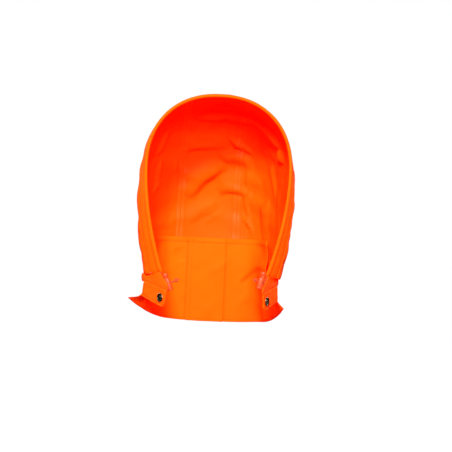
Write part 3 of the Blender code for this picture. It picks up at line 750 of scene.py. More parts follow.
def woven(name, warp, weft, faded, roughness, pitch, sheen, crumple=0.5, lines=0.9):
    """Cloth: a diagonal weave at this pitch over soft crumples, with slight fading and soil."""
    made, tree, shader = shader_of(name, warp, roughness)
    flat, solid = flat_place(tree), solid_place(tree)
    slant = (0, 0, math.radians(TWILL_SLANT))
    turn = node(tree, "ShaderNodeMapping", [("Vector", flat), ("Rotation", slant)])
    fine = [("Detail", 1.0), ("Detail Scale", 0.6)]
    twill = bands(tree, turn.outputs[0], 0.314 / pitch, 1.2, "X", fine)
    rows = bands(tree, flat, 0.22 / pitch, 1.5, "Y", [("Detail", 1.0)])
    slub = noise(tree, flat, 900.0, 2.0, 0.6)
    grain = weighted(tree, (twill, 0.6), (rows, 0.4), (slub, 0.5))
    threads = mix_color(tree, spread(tree, grain, 0.35, 1.05), weft, warp)
    patches = spread(tree, noise(tree, solid, 14.0, 3.0, 0.55), 0.46, 0.74)
    color = mix_color(tree, math_node(tree, "MULTIPLY", patches, 0.35), threads, faded)
    color_by(tree, shader, color)
    rough_by(tree, shader, patches, roughness - 0.03, roughness + 0.06)
    shader.inputs["Sheen Weight"].default_value = sheen
    shader.inputs["Sheen Roughness"].default_value = 0.4
    shader.inputs["Sheen Tint"].default_value = (*faded, 1.0)
    shader.inputs["Specular IOR Level"].default_value = 0.035
    painted_glow(shader)
    crumples = noise(tree, solid, 60.0, 4.0, 0.6)
    bump_of(tree, shader, weighted(tree, (grain, 0.10 * lines), (crumples, crumple)), 0.0016)
    return made


@functools.cache
def shell_twill():
    return woven(
        "hi_vis_twill", (1.0, 0.150, 0.0010), (0.92, 0.112, 0.0006), (1.0, 0.180, 0.0018),
        roughness=0.72, pitch=0.0007, sheen=0.03,
    )


@functools.cache
def coated_lining():
    return woven(
        "coated_lining_cloth", (1.0, 0.115, 0.0006), (0.96, 0.096, 0.0005), (1.0, 0.140, 0.0020),
        roughness=0.50, pitch=0.0005, sheen=0.0, crumple=0.8, lines=0.5,
    )


@functools.cache
def facing_twill():
    return woven(
        "facing_twill", (1.0, 0.165, 0.0010), (0.94, 0.130, 0.0006), (1.0, 0.190, 0.0015),
        roughness=0.70, pitch=0.0008, sheen=0.03, crumple=0.35,
    )


@functools.cache
def thread():
    made, tree, shader = shader_of("sewing_thread", (1.0, 0.15, 0.002), 0.62)
    shader.inputs["Specular IOR Level"].default_value = 0.08
    painted_glow(shader)
    wave = noise(tree, solid_place(tree), 3500.0, 1.0, 0.5)
    # Both thread colours are darker than the cloth's: painted shade for the dark lines that shadows draw
    # along the seams.
    color = mix_color(tree, wave, (0.72, 0.060, 0.0006), (0.96, 0.120, 0.0016))
    color_by(tree, shader, color)
    bump_of(tree, shader, wave, 0.0002)
    return made


@functools.cache
def tape_film():
    made, tree, shader = shader_of("seam_tape_film", (1.0, 0.125, 0.0010), 0.50)
    shader.inputs["Specular IOR Level"].default_value = 0.10
    painted_glow(shader)
    flat = flat_place(tree)
    mottle = noise(tree, flat, 420.0, 3.0, 0.6)
    color = mix_color(tree, mottle, (0.97, 0.098, 0.0005), (1.0, 0.128, 0.0012))
    color_by(tree, shader, color)
    bump_of(tree, shader, mottle, 0.0003)
    return made


@functools.cache
def braid():
    """Braided cord: the weave attribute holds the turn round the cord and the distance along it."""
    made, tree, shader = shader_of("braided_cord", (0.80, 0.10, 0.010), 0.78)
    flat = flat_place(tree)
    fibre = noise(tree, solid_place(tree), 2600.0, 2.0, 0.6)
    strand = bands(tree, flat, 180.0, 0.6, "DIAGONAL")
    mixed = weighted(tree, (fibre, 0.6), (strand, 0.4))
    color = mix_color(tree, spread(tree, mixed, 0.3, 0.75), (0.40, 0.030, 0.002), (0.84, 0.110, 0.010))
    color_by(tree, shader, color)
    bump_of(tree, shader, mixed, 0.0003)
    shader.inputs["Sheen Weight"].default_value = 0.10
    return made


@functools.cache
def acetal():
    """Moulded plastic, a little paler and rougher where thumbs have rubbed it."""
    made, tree, shader = shader_of("orange_acetal", (0.88, 0.20, 0.075), 0.36)
    solid = solid_place(tree)
    worn = spread(tree, noise(tree, solid, 420.0, 4.0, 0.6), 0.45, 0.70)
    speck = noise(tree, solid, 4200.0, 2.0, 0.5)
    color = mix_color(tree, worn, (0.80, 0.082, 0.014), (0.85, 0.120, 0.030))
    color_by(tree, shader, color)
    rough_by(tree, shader, worn, 0.30, 0.46)
    shader.inputs["Subsurface Weight"].default_value = 0.08
    shader.inputs["Subsurface Radius"].default_value = (0.003, 0.001, 0.0004)
    shader.inputs["Subsurface Scale"].default_value = 0.5
    bump_of(tree, shader, speck, 0.00012)
    return made


@functools.cache
def brass():
    """Dark antique brass that is rubbed bright on its raised edges."""
    made, tree, shader = shader_of("antique_brass", (0.16, 0.10, 0.06), 0.34, 1.0)
    solid = solid_place(tree)
    edge = node(tree, "ShaderNodeNewGeometry").outputs["Pointiness"]
    rubbed = spread(tree, edge, 0.50, 0.60)
    stain = noise(tree, solid, 700.0, 4.0, 0.65)
    dark = mix_color(tree, spread(tree, stain, 0.35, 0.7), (0.055, 0.034, 0.022), (0.20, 0.125, 0.065))
    color = mix_color(tree, rubbed, dark, (0.66, 0.47, 0.26))
    color_by(tree, shader, color)
    rough_by(tree, shader, stain, 0.24, 0.48)
    bump_of(tree, shader, stain, 0.00012)
    return made


@functools.cache
def steel():
    made, tree, shader = shader_of("spring_steel", (0.55, 0.55, 0.56), 0.28, 1.0)
    drawn = noise(tree, solid_place(tree), 5200.0, 2.0, 0.5)
    color = mix_color(tree, drawn, (0.44, 0.44, 0.45), (0.62, 0.62, 0.64))
    color_by(tree, shader, color)
    bump_of(tree, shader, drawn, 0.00008)
    return made


# ---------------------------------------------------------------- camera and light

CAMERA_TARGET = (0.0162, -0.1150, -0.2180)
CAMERA_TURN = -4.5  # degrees round from the front
CAMERA_ROLL = 2.5
CAMERA_FAR = 1.8
CAMERA_LENS = 86.9
FLOOR_HEIGHT = -1.30
FLOOR_SIZE = 60.0
KEY_FROM = (-0.48, -2.40, 1.10)
FILL_FROM = (0.06, -2.62, 0.50)
KEY_AIM = (0.0, 0.0, -0.20)
PAINTED_RED_GLOW = (1.0, 0.001, 0.0)  # painted glow: a red emission that ignores the light and keeps the cloth's shade saturated red
PAINTED_GLOW_STRENGTH = 0.50


def make_camera():
    turn = math.radians(CAMERA_TURN)
    back = Vector((math.sin(turn), -math.cos(turn), 0.0))
    made = bpy.data.objects.new("camera", bpy.data.cameras.new("camera"))
    bpy.context.scene.collection.objects.link(made)
    made.data.lens = CAMERA_LENS
    made.data.sensor_width = 36.0
    look = (-back).to_track_quat("-Z", "Y").to_matrix().to_4x4()
    place = Matrix.Translation(Vector(CAMERA_TARGET) + back * CAMERA_FAR)
    made.matrix_world = place @ look @ Matrix.Rotation(math.radians(CAMERA_ROLL), 4, "Z")
    bpy.context.scene.camera = made


def softbox(name, at, aim, size, power, tint=(1.0, 1.0, 1.0)):
    lamp = bpy.data.lights.new(name, "AREA")
    lamp.shape = "RECTANGLE"
    lamp.size, lamp.size_y = size
    lamp.energy = power
    lamp.color = tint
    made = bpy.data.objects.new(name, lamp)
    bpy.context.scene.collection.objects.link(made)
    way = Vector(aim) - Vector(at)
    made.matrix_world = Matrix.Translation(Vector(at)) @ way.to_track_quat("-Z", "Y").to_matrix().to_4x4()
    made.visible_camera = False


def make_light():
    softbox("key", KEY_FROM, KEY_AIM, (0.34, 0.34), 92.0)
    softbox("fill", FILL_FROM, KEY_AIM, (0.5, 0.4), 34.0)
    softbox("back_left", (-1.7, 1.6, 0.9), KEY_AIM, (1.4, 1.4), 42.0)
    softbox("back_right", (1.8, 1.7, 0.7), KEY_AIM, (1.4, 1.4), 34.0)


def make_world():
    world = bpy.data.worlds.new("studio")
    bpy.context.scene.world = world
    world.use_nodes = True
    tree = world.node_tree
    ground = tree.nodes["Background"]
    ground.inputs["Color"].default_value = (1.0, 1.0, 1.0, 1.0)
    seen = node(tree, "ShaderNodeLightPath").outputs["Is Camera Ray"]
    inputs = [("Value", seen), ("To Min", 0.006), ("To Max", 1.0)]
    tree.links.new(node(tree, "ShaderNodeMapRange", inputs).outputs[0], ground.inputs["Strength"])
    bpy.context.scene.view_settings.view_transform = "Standard"


def make_floor():
    made, _, shader = shader_of("studio_floor", (0.93, 0.93, 0.92), 0.9)
    shader.inputs["Emission Color"].default_value = (1.0, 1.0, 1.0, 1.0)
    shader.inputs["Emission Strength"].default_value = 1.0
    half = FLOOR_SIZE / 2
    corners = ((-half, -half), (half, -half), (half, half), (-half, half))
    mesh = bpy.data.meshes.new("floor")
    mesh.from_pydata([(x, y, FLOOR_HEIGHT) for x, y in corners], [], [(0, 1, 2, 3)])
    mesh.materials.append(made)
    floor = bpy.data.objects.new("floor", mesh)
    bpy.context.scene.collection.objects.link(floor)
    floor.visible_diffuse = False
    floor.visible_glossy = False


# ---------------------------------------------------------------- hem frames and the drawcord's free ends

NEAR = 0.002
HEM_LENGTH = half_length(HEM_SHARE)


def hem_frames(reach):
    """Base, forward and outward directions and width of the hem at signed distances from the apex."""
    side = np.where(reach < 0, -1.0, 1.0)[:, None]
    flip = np.concatenate([side, np.ones_like(side), np.ones_like(side)], axis=1)
    away = np.abs(reach)
    back, front = half_arch(HEM_SHARE), half_arch(0.0)
    base = along_line(back, away)
    ahead = along_line(front, away / HEM_LENGTH * lengths(front)[-1])
    near = np.minimum(away, HEM_LENGTH - NEAR)
    step = along_line(back, near + NEAR) - along_line(back, np.maximum(near - NEAR, 0))
    forward = unit(ahead - base)
    outward = facing_away(unit(np.cross(forward, step)), base, INSIDE)
    return base * flip, forward * flip, outward * flip, np.linalg.norm(ahead - base, axis=1)


def cord_in_hem(reach):
    base, forward, outward, width = hem_frames(reach)
    return base + forward * (width - CORD_FORWARD)[:, None] - outward * HEM_THICK / 2


def cord_line(side):
    return np.array(LOCKS[side]["at"]), unit(np.array(LOCKS[side]["cord"]))


def smooth_route(through, spacing):
    """Points every spacing along a Catmull-Rom curve through the given points."""
    through = np.asarray(through, float)
    ends = np.concatenate([[2 * through[0] - through[1]], through, [2 * through[-1] - through[-2]]])
    fine = resample(ends[None].repeat(2, axis=0), np.zeros(241), np.linspace(1, len(through), 241))
    total = lengths(fine)[-1]
    return along_line(fine, np.linspace(0, total, max(round(total / spacing), 2) + 1))


def cord_exit(side):
    before, last = cord_in_hem(side * np.array([HEM_LENGTH - CORD_LEAVES, HEM_LENGTH]))
    return last, unit(last - before)


CORD_START = 0.0030  # how far inside the hem the free end's mesh starts


def cord_route(side):
    leave, way = cord_exit(side)
    at, along = cord_line(side)
    through = [leave - way * CORD_START, leave + way * GAP, leave + way * CORD_LEAVES]
    through += [at + along * stop for stop in CORD_STOPS]
    return smooth_route(through, 0.0006)


BRAID_STRANDS = 8
BRAID_LAY = 0.0060  # length along the cord of one turn of a strand
BRAID_DEEP = 0.00012


def braided_tube(name, line, radius, around=32):
    """A tube with a braid's crossing strands raised on its surface, and rounded ends."""
    marks = lengths(line)
    total = marks[-1]
    ease = np.sqrt(np.clip(np.minimum(marks, total - marks) / radius + 0.02, 0, 1))
    turn = np.linspace(0, 2 * math.pi, around, endpoint=False)[None, :]
    wind = marks[:, None] / BRAID_LAY * 2 * math.pi
    left = np.cos(BRAID_STRANDS / 2 * (turn + wind))
    right = np.cos(BRAID_STRANDS / 2 * (turn - wind))
    relief = BRAID_DEEP * (np.maximum(left, right) - 0.6)
    rings, spokes = tube_rings(line, radius * ease, around)
    rings = rings + spokes * relief[..., None] * ease[:, None, None]
    points, faces = capped_tube(rings)
    weave = np.stack([turn * radius + 0 * wind, marks[:, None] + 0 * turn, 0 * (wind + turn)], axis=-1)
    weave = np.concatenate([weave.reshape(-1, 3), [[0, 0, 0], [0, total, 0]]])
    return add_piece(name, points, faces, braid(), weave=weave, sharp=80)


KNOT_LOOP = 0.00082  # scale of the knot's trefoil curve
KNOT_CORD = 0.00125
KNOT_DEEP = 0.00115  # of the trefoil along the cord
KNOT_TAIL = 0.0052  # the cord's cut end past the knot's middle, and how far it drops
KNOT_TAIL_DROP = 0.0012
KNOT_TAIL_POINTS = 10


def knot_line(side):
    """A tight overhand knot round the cord's end: a trefoil curve across the cord."""
    at, along = cord_line(side)
    middle = at + along * (CORD_STOPS[-1] + GAP + KNOT_RADIUS * KNOT_FLAT)
    across = unit(np.cross(along, [0.0, 0.0, 1.0]))
    other = np.cross(along, across)
    t = np.linspace(0, 2 * math.pi, 121)[:-1]
    a = (np.sin(t) + 2 * np.sin(2 * t)) * KNOT_LOOP
    b = (np.cos(t) - 2 * np.cos(2 * t)) * KNOT_LOOP
    c = -np.sin(3 * t) * KNOT_DEEP
    return middle + a[:, None] * across + b[:, None] * other + c[:, None] * along, middle, along, other


def make_knot(side, label):
    line, middle, along, other = knot_line(side)
    closed = np.concatenate([line, line[:2]])
    rings, _ = tube_rings(closed, KNOT_CORD, 14)
    rings = rings[:-2]
    around = rings.shape[1]
    faces = [tuple(f) for f in ring_faces(len(rings), around, closed=True)]
    marks = lengths(line)
    turn = np.linspace(0, 2 * math.pi * KNOT_CORD, around, endpoint=False)
    weave = np.stack(np.broadcast_arrays(turn[None, :], marks[:, None], 0.0), axis=-1)
    run = np.linspace(0, 1, KNOT_TAIL_POINTS)
    tail = middle + along * KNOT_TAIL * run[:, None] - other * KNOT_TAIL_DROP * run[:, None]
    tail_rings, _ = tube_rings(tail, (1 + 0.12 * run) * KNOT_CORD, around)
    tail_points, tail_faces = capped_tube(tail_rings)
    tail_weave = np.zeros((len(tail_points), 3))
    tail_weave[:-2, 1] = np.repeat(lengths(tail), around)
    tail_weave[:-2, 0] = np.tile(turn, KNOT_TAIL_POINTS)
    points, faces = join_parts([(rings.reshape(-1, 3), faces), (tail_points, tail_faces)])
    weave = np.concatenate([weave.reshape(-1, 3), tail_weave])
    piece = add_piece(f"stop_knot_{label}", points, faces, braid(), weave=weave, sharp=80)
    return finish_piece(piece, "root", "braided_cord", f"drawcord_knot_{label}")


def make_cords():
    """The drawcord's two free ends, each with its knot."""
    made = {}
    for side, label in SIDES:
        route = cord_route(side)
        cord = braided_tube(f"drawcord_tail_{label}", route, CORD_RADIUS - 0.00005)
        finish_piece(cord, "root", "braided_cord", f"drawcord_end_{label}")
        made[side] = (cord, route, make_knot(side, label))
    return made


def declare_cords():
    for side, _ in SIDES:
        cord_exit(side)[0].tolist()


# ---------------------------------------------------------------- cord locks

LOCK_AROUND = 56
SPRING_CLEAR = 0.0002
RIB_HEIGHTS = (-0.0088, -0.0068, -0.0048)
RIB_DEEP = 0.00032
FLARE_FROM = 0.0040
FLARE_SIZE = 0.0008


def lock_matrix(side):
    at, along = cord_line(side)
    up = unit(np.array(LOCKS[side]["lean"]) - along * np.dot(LOCKS[side]["lean"], along))
    turn = Matrix(np.stack([along, np.cross(up, along), up]).tolist()).transposed().to_4x4()
    return Matrix.Translation(Vector(at)) @ turn


def oval_rings(profile):
    """Rings from (half width in x, half width in y, height) sections."""
    turn = np.linspace(0, 2 * math.pi, LOCK_AROUND, endpoint=False)
    return np.stack(
        [np.stack([rx * np.cos(turn), ry * np.sin(turn), 0 * turn + z], axis=-1) for rx, ry, z in profile]
    )


def rounded_stack(rx, ry, low, high, edge):
    """Sections of an oval block with round edges, without its end caps."""
    sections = []
    for k in range(5):
        turn = math.radians(22.5 * k)
        inset = edge * (1 - math.sin(turn))
        sections.append((rx - inset, ry - inset, low + edge * (1 - math.cos(turn))))
    for k in range(5):
        turn = math.radians(22.5 * k)
        inset = edge * (1 - math.cos(turn))
        sections.append((rx - inset, ry - inset, high - edge * (1 - math.sin(turn))))
    return sections


def carve(piece, cutter):
    """Cuts the closed cutter out of the piece and applies it."""
    tool = piece.modifiers.new("carve", "BOOLEAN")
    tool.operation = "DIFFERENCE"
    tool.solver = "EXACT"
    tool.object = cutter
    graph = bpy.context.evaluated_depsgraph_get()
    mesh = bpy.data.meshes.new_from_object(piece.evaluated_get(graph))
    piece.modifiers.clear()
    piece.data = mesh
    mesh.set_sharp_from_angle(angle=math.radians(35))
    bpy.data.objects.remove(cutter)


def cutter_of(name, rings):
    points, faces = capped_tube(rings)
    return add_piece(name, points, faces, acetal())


def cross_hole():
    """A cutter along X for the cord, wider at both mouths."""
    x = np.array([-0.0120, -0.0056, -0.0050, -0.0045, -0.0040, 0.0040, 0.0045, 0.0050, 0.0056, 0.0120])
    radius = CORD_HOLE + FLARE_SIZE * np.clip((np.abs(x) - FLARE_FROM) / 0.0012, 0, 1) ** 2
    line = np.stack([x, 0 * x, 0 * x], axis=-1)
    return tube_rings(line, radius, 28)[0]


def lock_body_sections(bottom, top):
    sections = rounded_stack(LOCK_RX, LOCK_RY, bottom, top, 0.0012)
    lower, upper = sections[:5], sections[5:]
    ribs = []
    for height in RIB_HEIGHTS:
        for shift, deep in ((-0.00045, 0.0), (-0.0002, 0.8), (0.0, 1.0), (0.0002, 0.8), (0.00045, 0.0)):
            inset = RIB_DEEP * deep
            ribs.append((LOCK_RX - inset, LOCK_RY - inset, height + shift))
    mouth = BORE_RADIUS + 0.0003
    inside = [(mouth, mouth, top), (BORE_RADIUS, BORE_RADIUS, top - 0.0004)]
    inside.append((BORE_RADIUS, BORE_RADIUS, bottom + BORE_FLOOR))
    return lower + ribs + upper + inside


def plunger_sections(foot, head):
    r = PLUNGER_RADIUS
    stem = [(r - 0.0004, r - 0.0004, foot), (r, r, foot + 0.0004), (r, r, head)]
    rx, ry = LOCK_RX - 0.0006, LOCK_RY - 0.0014
    crown = head + HEAD_HEIGHT
    cap = rounded_stack(rx, ry, head, crown, 0.0012)
    dish = [(rx * s, ry * s, crown - 0.0005 * (1 - s * s)) for s in (0.62, 0.45, 0.25)]
    ring = [(rx * 0.74, ry * 0.74, crown + 0.00001), (rx * 0.70, ry * 0.70, crown - 0.0002)]
    return stem + cap + ring + dish


def plunger_slot():
    """A cutter along X that lets the stem pass the cord over its travel."""
    turn = np.linspace(0, 2 * math.pi, 40, endpoint=False)
    y = 0.0023 * np.cos(turn)
    z = 0.0023 * np.sin(turn)
    z = np.where(z > 0, z + PLUNGER_TRAVEL, z)
    return np.stack([np.stack([0 * turn + x, y, z], axis=-1) for x in (-0.012, 0.012)])


def spring_line(first, last):
    turns, steps = 4.5, 22
    t = np.linspace(0, 1, int(turns * steps) + 1)
    rise = np.clip((t - 0.10) / 0.80, 0, 1)
    height = first + (last - first) * rise
    turn = 2 * math.pi * turns * t
    return np.stack([SPRING_RADIUS * np.cos(turn), SPRING_RADIUS * np.sin(turn), height], axis=-1)


def make_lock(side, label):
    """A spring cord lock: a ribbed barrel, a plunger with a dished thumb head, and its spring."""
    bottom, top = -LOCK_BELOW, LOCK_HEIGHT - LOCK_BELOW
    foot, head = bottom + PLUNGER_FOOT, top + PLUNGER_TRAVEL + HEAD_CLEAR
    place = lock_matrix(side)
    barrel = capped_tube(oval_rings(lock_body_sections(bottom, top)))
    body = add_piece(f"lock_barrel_{label}", *barrel, acetal())
    carve(body, cutter_of("cord_hole_cutter", cross_hole()))
    pin = capped_tube(oval_rings(plunger_sections(foot, head)))
    plunger = add_piece(f"lock_plunger_{label}", *pin, acetal())
    carve(plunger, cutter_of("slot_cutter", plunger_slot()))
    room = SPRING_WIRE + SPRING_CLEAR
    first, last = bottom + BORE_FLOOR + room, foot - room
    rings, _ = tube_rings(spring_line(first, last), SPRING_WIRE, 10)
    spring = add_piece(f"lock_spring_{label}", *capped_tube(rings), steel(), sharp=80)
    for piece in (body, plunger, spring):
        piece.data.transform(place)
    finish_piece(body, f"cord_lock_{label}", "lock_plastic", f"cord_lock_body_{label}")
    finish_piece(plunger, f"lock_plunger_{label}", "lock_plastic", f"cord_lock_plunger_{label}")
    finish_piece(spring, f"cord_lock_{label}", "spring_steel", f"cord_lock_spring_{label}")
    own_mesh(spring)
    return [body, plunger, spring]


# ---------------------------------------------------------------- shell, lining and seam tapes

PANEL_ROWS = 170
CENTER_FINE = 64
SIDE_FINE = 104
PUCKER = 0.00030
SEAM_SINK = 0.00055
SEAM_NEAR = 0.0013


def panel_columns(label, stations, gap):
    """The columns of a panel's fine grid, one row each station."""
    if label == "center":
        return np.broadcast_to(np.linspace(-1, 1, CENTER_FINE + 1), (len(stations), CENTER_FINE + 1))
    spare = np.array([gap / (half_length(s) - CENTER_HALF) for s in stations])[:, None]
    share = np.linspace(0, 1, SIDE_FINE + 1)[None, :]
    columns = 1 + spare + share * (1 - 2 * spare)
    return columns if label == "right" else -columns[:, ::-1]


def seam_detail(stations, columns, seed):
    """How far cloth sinks at a seam and puckers beside it."""
    total = np.array([half_length(s) for s in stations])[:, None]
    off = np.abs(np.abs(reach_of(columns, total)) - CENTER_HALF)
    along = np.linspace(0, 0.42, len(stations))[:, None]
    draw = np.random.default_rng(seed)
    waves = sum(
        np.sin(2 * math.pi * along / size + draw.uniform(0, 6.3) + 40 * columns)
        for size in (0.0085, 0.013, 0.021)
    )
    return -SEAM_SINK * bump(off, SEAM_NEAR) + PUCKER * waves / 3 * bump(off - 0.004, 0.005)


def make_panel(prefix, label, outer, thickness, look, slot, seed):
    stations = np.linspace(HEM_SHARE + 0.002, 1.0, PANEL_ROWS)
    columns = panel_columns(label, stations, GAP)
    grid = hood_at(stations, columns)
    normals = grid_normals(grid, INSIDE)
    detail = seam_detail(stations, columns, seed) * (1 if outer == 0 else -0.6)
    top = grid + normals * (outer + np.minimum(detail, 0.0004))[..., None]
    low = grid + normals * (outer - thickness + 0.3 * detail)[..., None]
    piece = cloth_piece(f"{prefix}_{label}", top, low, weave_of(grid), look)
    finish_piece(piece, "root", slot, f"{prefix}_{label}_panel")
    declare_sheet(grid)


def declare_sheet(grid):
    """Measures a grid of points' flat width, length and area over the cloth, and keeps none of them."""
    over = np.linalg.norm(np.diff(grid, axis=1), axis=-1).sum(axis=1)
    down = np.linalg.norm(np.diff(grid, axis=0), axis=-1).sum(axis=0)
    a, b = grid[:-1, :-1] - grid[1:, 1:], grid[:-1, 1:] - grid[1:, :-1]
    area = 0.5 * np.linalg.norm(np.cross(a, b), axis=-1).sum()
    width, length = over.max(), down.max()
    area = min(max(area, 0.3 * width * length), width * length)


def hood_line(stations, columns, offset):
    """A line over the settled surface, lifted by offset, and its normals."""
    stations, columns = np.asarray(stations, float), np.asarray(columns, float)
    step_s, step_c = 0.004, 0.01
    at = hood_at(stations, columns[:, None])[:, 0]
    over = hood_at(stations, (columns + step_c)[:, None]) - hood_at(stations, (columns - step_c)[:, None])
    later = hood_at(np.minimum(stations + step_s, 1), columns[:, None])
    sooner = hood_at(np.maximum(stations - step_s, HEM_SHARE), columns[:, None])
    normals = facing_away(unit(np.cross(over[:, 0], (later - sooner)[:, 0])), at, INSIDE)
    return at + normals * offset, normals


def seam_columns(stations, off, side):
    """Columns at a distance from a long seam: off is positive on the side panel."""
    total = np.array([half_length(s) for s in stations])
    side_share = 1 + off / (total - CENTER_HALF)
    return side * (side_share if off > 0 else np.full(len(stations), 1 + off / CENTER_HALF))


SHELL_TOPSTITCH = (0.0024, 0.0082)
LINING_TOPSTITCH = (-0.0086, 0.0086)
TAPE_LIFT = 0.00008
TAPE_FILM = 0.00030
TAPE_STATIONS = (0.10, 0.972)
ALLOWANCE = 0.0008  # the seam's felled cloth, under the tape on the side panel's side
ALLOWANCE_WIDE = 0.0066


def make_tape(side, label):
    """Film tape over a long seam of the lining. It shows the felled seam beneath it."""
    stations = np.linspace(*TAPE_STATIONS, 190)
    across = np.linspace(-TAPE_WIDTH / 2, TAPE_WIDTH / 2, 44)
    columns = np.stack([seam_columns(stations, off, side) for off in across], axis=1)
    if side < 0:
        columns, across = columns[:, ::-1], across[::-1]
    grid = hood_at(stations, columns)
    normals = grid_normals(grid, INSIDE)
    lining = -SHELL_CLOTH - GAP - LINING_CLOTH
    edge = np.clip((TAPE_WIDTH / 2 - np.abs(across)) / 0.0012, 0.15, 1)
    felled = np.clip(across / 0.0010, 0, 1) * np.clip((ALLOWANCE_WIDE - across) / 0.0012, 0, 1)
    ridge = ALLOWANCE * felled - 0.00028 * bump(across + 0.0006, 0.0008)
    noisy = 0.00012 * soft_noise(grid, 0.012, 21)
    outer = grid + normals * (lining - TAPE_LIFT)
    inner = grid + normals * (lining - TAPE_LIFT - TAPE_FILM * edge - ridge - noisy * edge)[..., None]
    piece = cloth_piece(f"seam_film_{label}", outer, inner, weave_of(grid), tape_film())
    return finish_piece(piece, "root", "seam_tape", f"seam_tape_{label}")


def make_hood_cloth():
    for seed, label in enumerate(("center", "left", "right")):
        make_panel("shell", label, 0.0, SHELL_CLOTH, shell_twill(), "hood_twill", 31 + seed)
        outer = -SHELL_CLOTH - GAP
        make_panel("lining", label, outer, LINING_CLOTH, coated_lining(), "coated_lining", 41 + seed)
    stations = np.linspace(0.10, 0.985, 220)
    outside, inside = [], []
    for side, label in SIDES:
        make_tape(side, label)
        for off in SHELL_TOPSTITCH:
            outside.append(hood_line(stations, seam_columns(stations, off, side), 0.0))
        for off in LINING_TOPSTITCH:
            line, normals = hood_line(stations, seam_columns(stations, off, side), -0.0024)
            inside.append((line, -normals))
    across = np.linspace(-1.985, 1.985, 420)
    outside.append(hood_line(np.full(420, 0.985), across, 0.0))
    stitching("shell_topstitching", outside)
    stitching("lining_topstitching", inside)


# ---------------------------------------------------------------- drawcord hem

ROLL_LONG = 0.0043  # half the length of the cord's channel section, and ROLL_THICK half its thickness
ROLL_THICK = 0.00300
CHANNEL = 0.00178
HEM_TAPER = 0.0070
HEM_OVER = 0.0022  # how far the hem's end runs down over the collar band's top edge
HEM_STITCH = 0.0090  # the stitch line that closes the channel, back from the front edge
HEM_BACK_STITCH = 0.0026  # the outer row beside the shell, forward from the back edge


def hem_profile(width, puff, gather):
    """Distances forward and outward round one section. puff and gather shape its folds."""
    middle = -HEM_THICK / 2
    center = width - ROLL_LONG - 0.0001
    turn = np.radians(np.linspace(128, -128, 19))
    roll_f = center + ROLL_LONG * np.cos(turn)
    roll_o = middle + (ROLL_THICK + 0.25 * gather) * np.sin(turn)
    back = np.array([0.0, 0.12, 0.35, 0.6, 0.84, 1.0])
    start, end = GAP + 0.0002, center - ROLL_LONG * 0.98
    top_f = start + (end - start) * back
    swell = np.sin(math.pi * back) ** 0.7
    top_o = -0.00070 + (0.00062 + puff) * swell - np.array([0.0001, 0, 0, 0, 0.0001, 0.0006])
    low_o = -0.00330 - (0.0004 + 0.5 * puff) * swell - np.array([-0.0006, 0, 0, 0, -0.0002, 0.0008])
    forward = np.concatenate([top_f, roll_f, top_f[::-1]])
    outward = np.concatenate([top_o, roll_o, low_o[::-1]])
    return forward, outward


def hem_piece(name, reach, *nodes):
    """A flat tube of cloth along the face opening, rolled round the drawcord at its front."""
    base, ahead, out, width = hem_frames(reach)
    ends = np.clip((HEM_LENGTH + HEM_OVER - np.abs(reach)) / HEM_TAPER, 0, 1)
    plump = np.sqrt(np.clip(1 - (1 - ends) ** 2, 0.20, 1))
    waves = soft_noise(np.stack([reach, 0 * reach, 0 * reach], axis=-1), 0.016, 51)
    slow = soft_noise(np.stack([reach, 0 * reach + 1, 0 * reach], axis=-1), 0.055, 52)
    rings, places = [], []
    for k in range(len(reach)):
        forward, outward = hem_profile(width[k], 0.00035 * slow[k] + 0.00018 * waves[k], 0.00045 * waves[k])
        middle_f = width[k] - CORD_FORWARD
        pulled = (forward - middle_f) * (0.80 + 0.20 * plump[k]) + middle_f
        flat = (outward + HEM_THICK / 2) * plump[k] - HEM_THICK / 2
        rings.append(base[k] + ahead[k] * pulled[:, None] + out[k] * flat[:, None])
        around = np.concatenate([[0], np.cumsum(np.hypot(np.diff(forward), np.diff(outward)))])
        places.append(np.stack([around, 0 * around + reach[k], 0 * around], axis=-1))
    rings, places = np.array(rings), np.array(places)
    hole = channel_rings(base, ahead, out, width, rings.shape[1])
    return tube_with_channel(name, rings, hole, places, nodes)


def channel_rings(base, ahead, out, width, around):
    """The channel that holds the drawcord, with as many points round it as the hem has."""
    turn = np.radians(np.linspace(180, -180, around, endpoint=False))
    middle = base + ahead * (width - CORD_FORWARD)[:, None] - out * HEM_THICK / 2
    spokes = np.cos(turn)[None, :, None] * ahead[:, None] + np.sin(turn)[None, :, None] * out[:, None]
    return middle[:, None] + CHANNEL * spokes


def tube_with_channel(name, rings, hole, places, nodes):
    count, around = rings.shape[:2]
    outer = ring_faces(count, around)
    inner = ring_faces(count, around, start=count * around)[:, ::-1]
    faces = [tuple(f) for f in np.concatenate([outer, inner])]
    for start in (0, (count - 1) * around):
        for j in range(around):
            a, b = start + j, start + (j + 1) % around
            faces.append((a, b, count * around + b, count * around + a))
    points = np.concatenate([rings.reshape(-1, 3), hole.reshape(-1, 3)])
    weave = np.concatenate([places.reshape(-1, 3), places.reshape(-1, 3)])
    piece = add_piece(name, points, faces, shell_twill(), weave=weave, sharp=60)
    return finish_piece(piece, "root", "hood_twill", *nodes)


def hem_stitch_line(reach, outside):
    """The row of stitches that closes the channel, on the hem's outer or inner face."""
    base, ahead, out, width = hem_frames(reach)
    height = -0.00185 if outside else -0.00450
    return base + ahead * (width - HEM_STITCH)[:, None] + out * height, out if outside else -out


def hem_back_line(reach):
    base, ahead, out, _ = hem_frames(reach)
    return base + ahead * HEM_BACK_STITCH - out * 0.00020, out


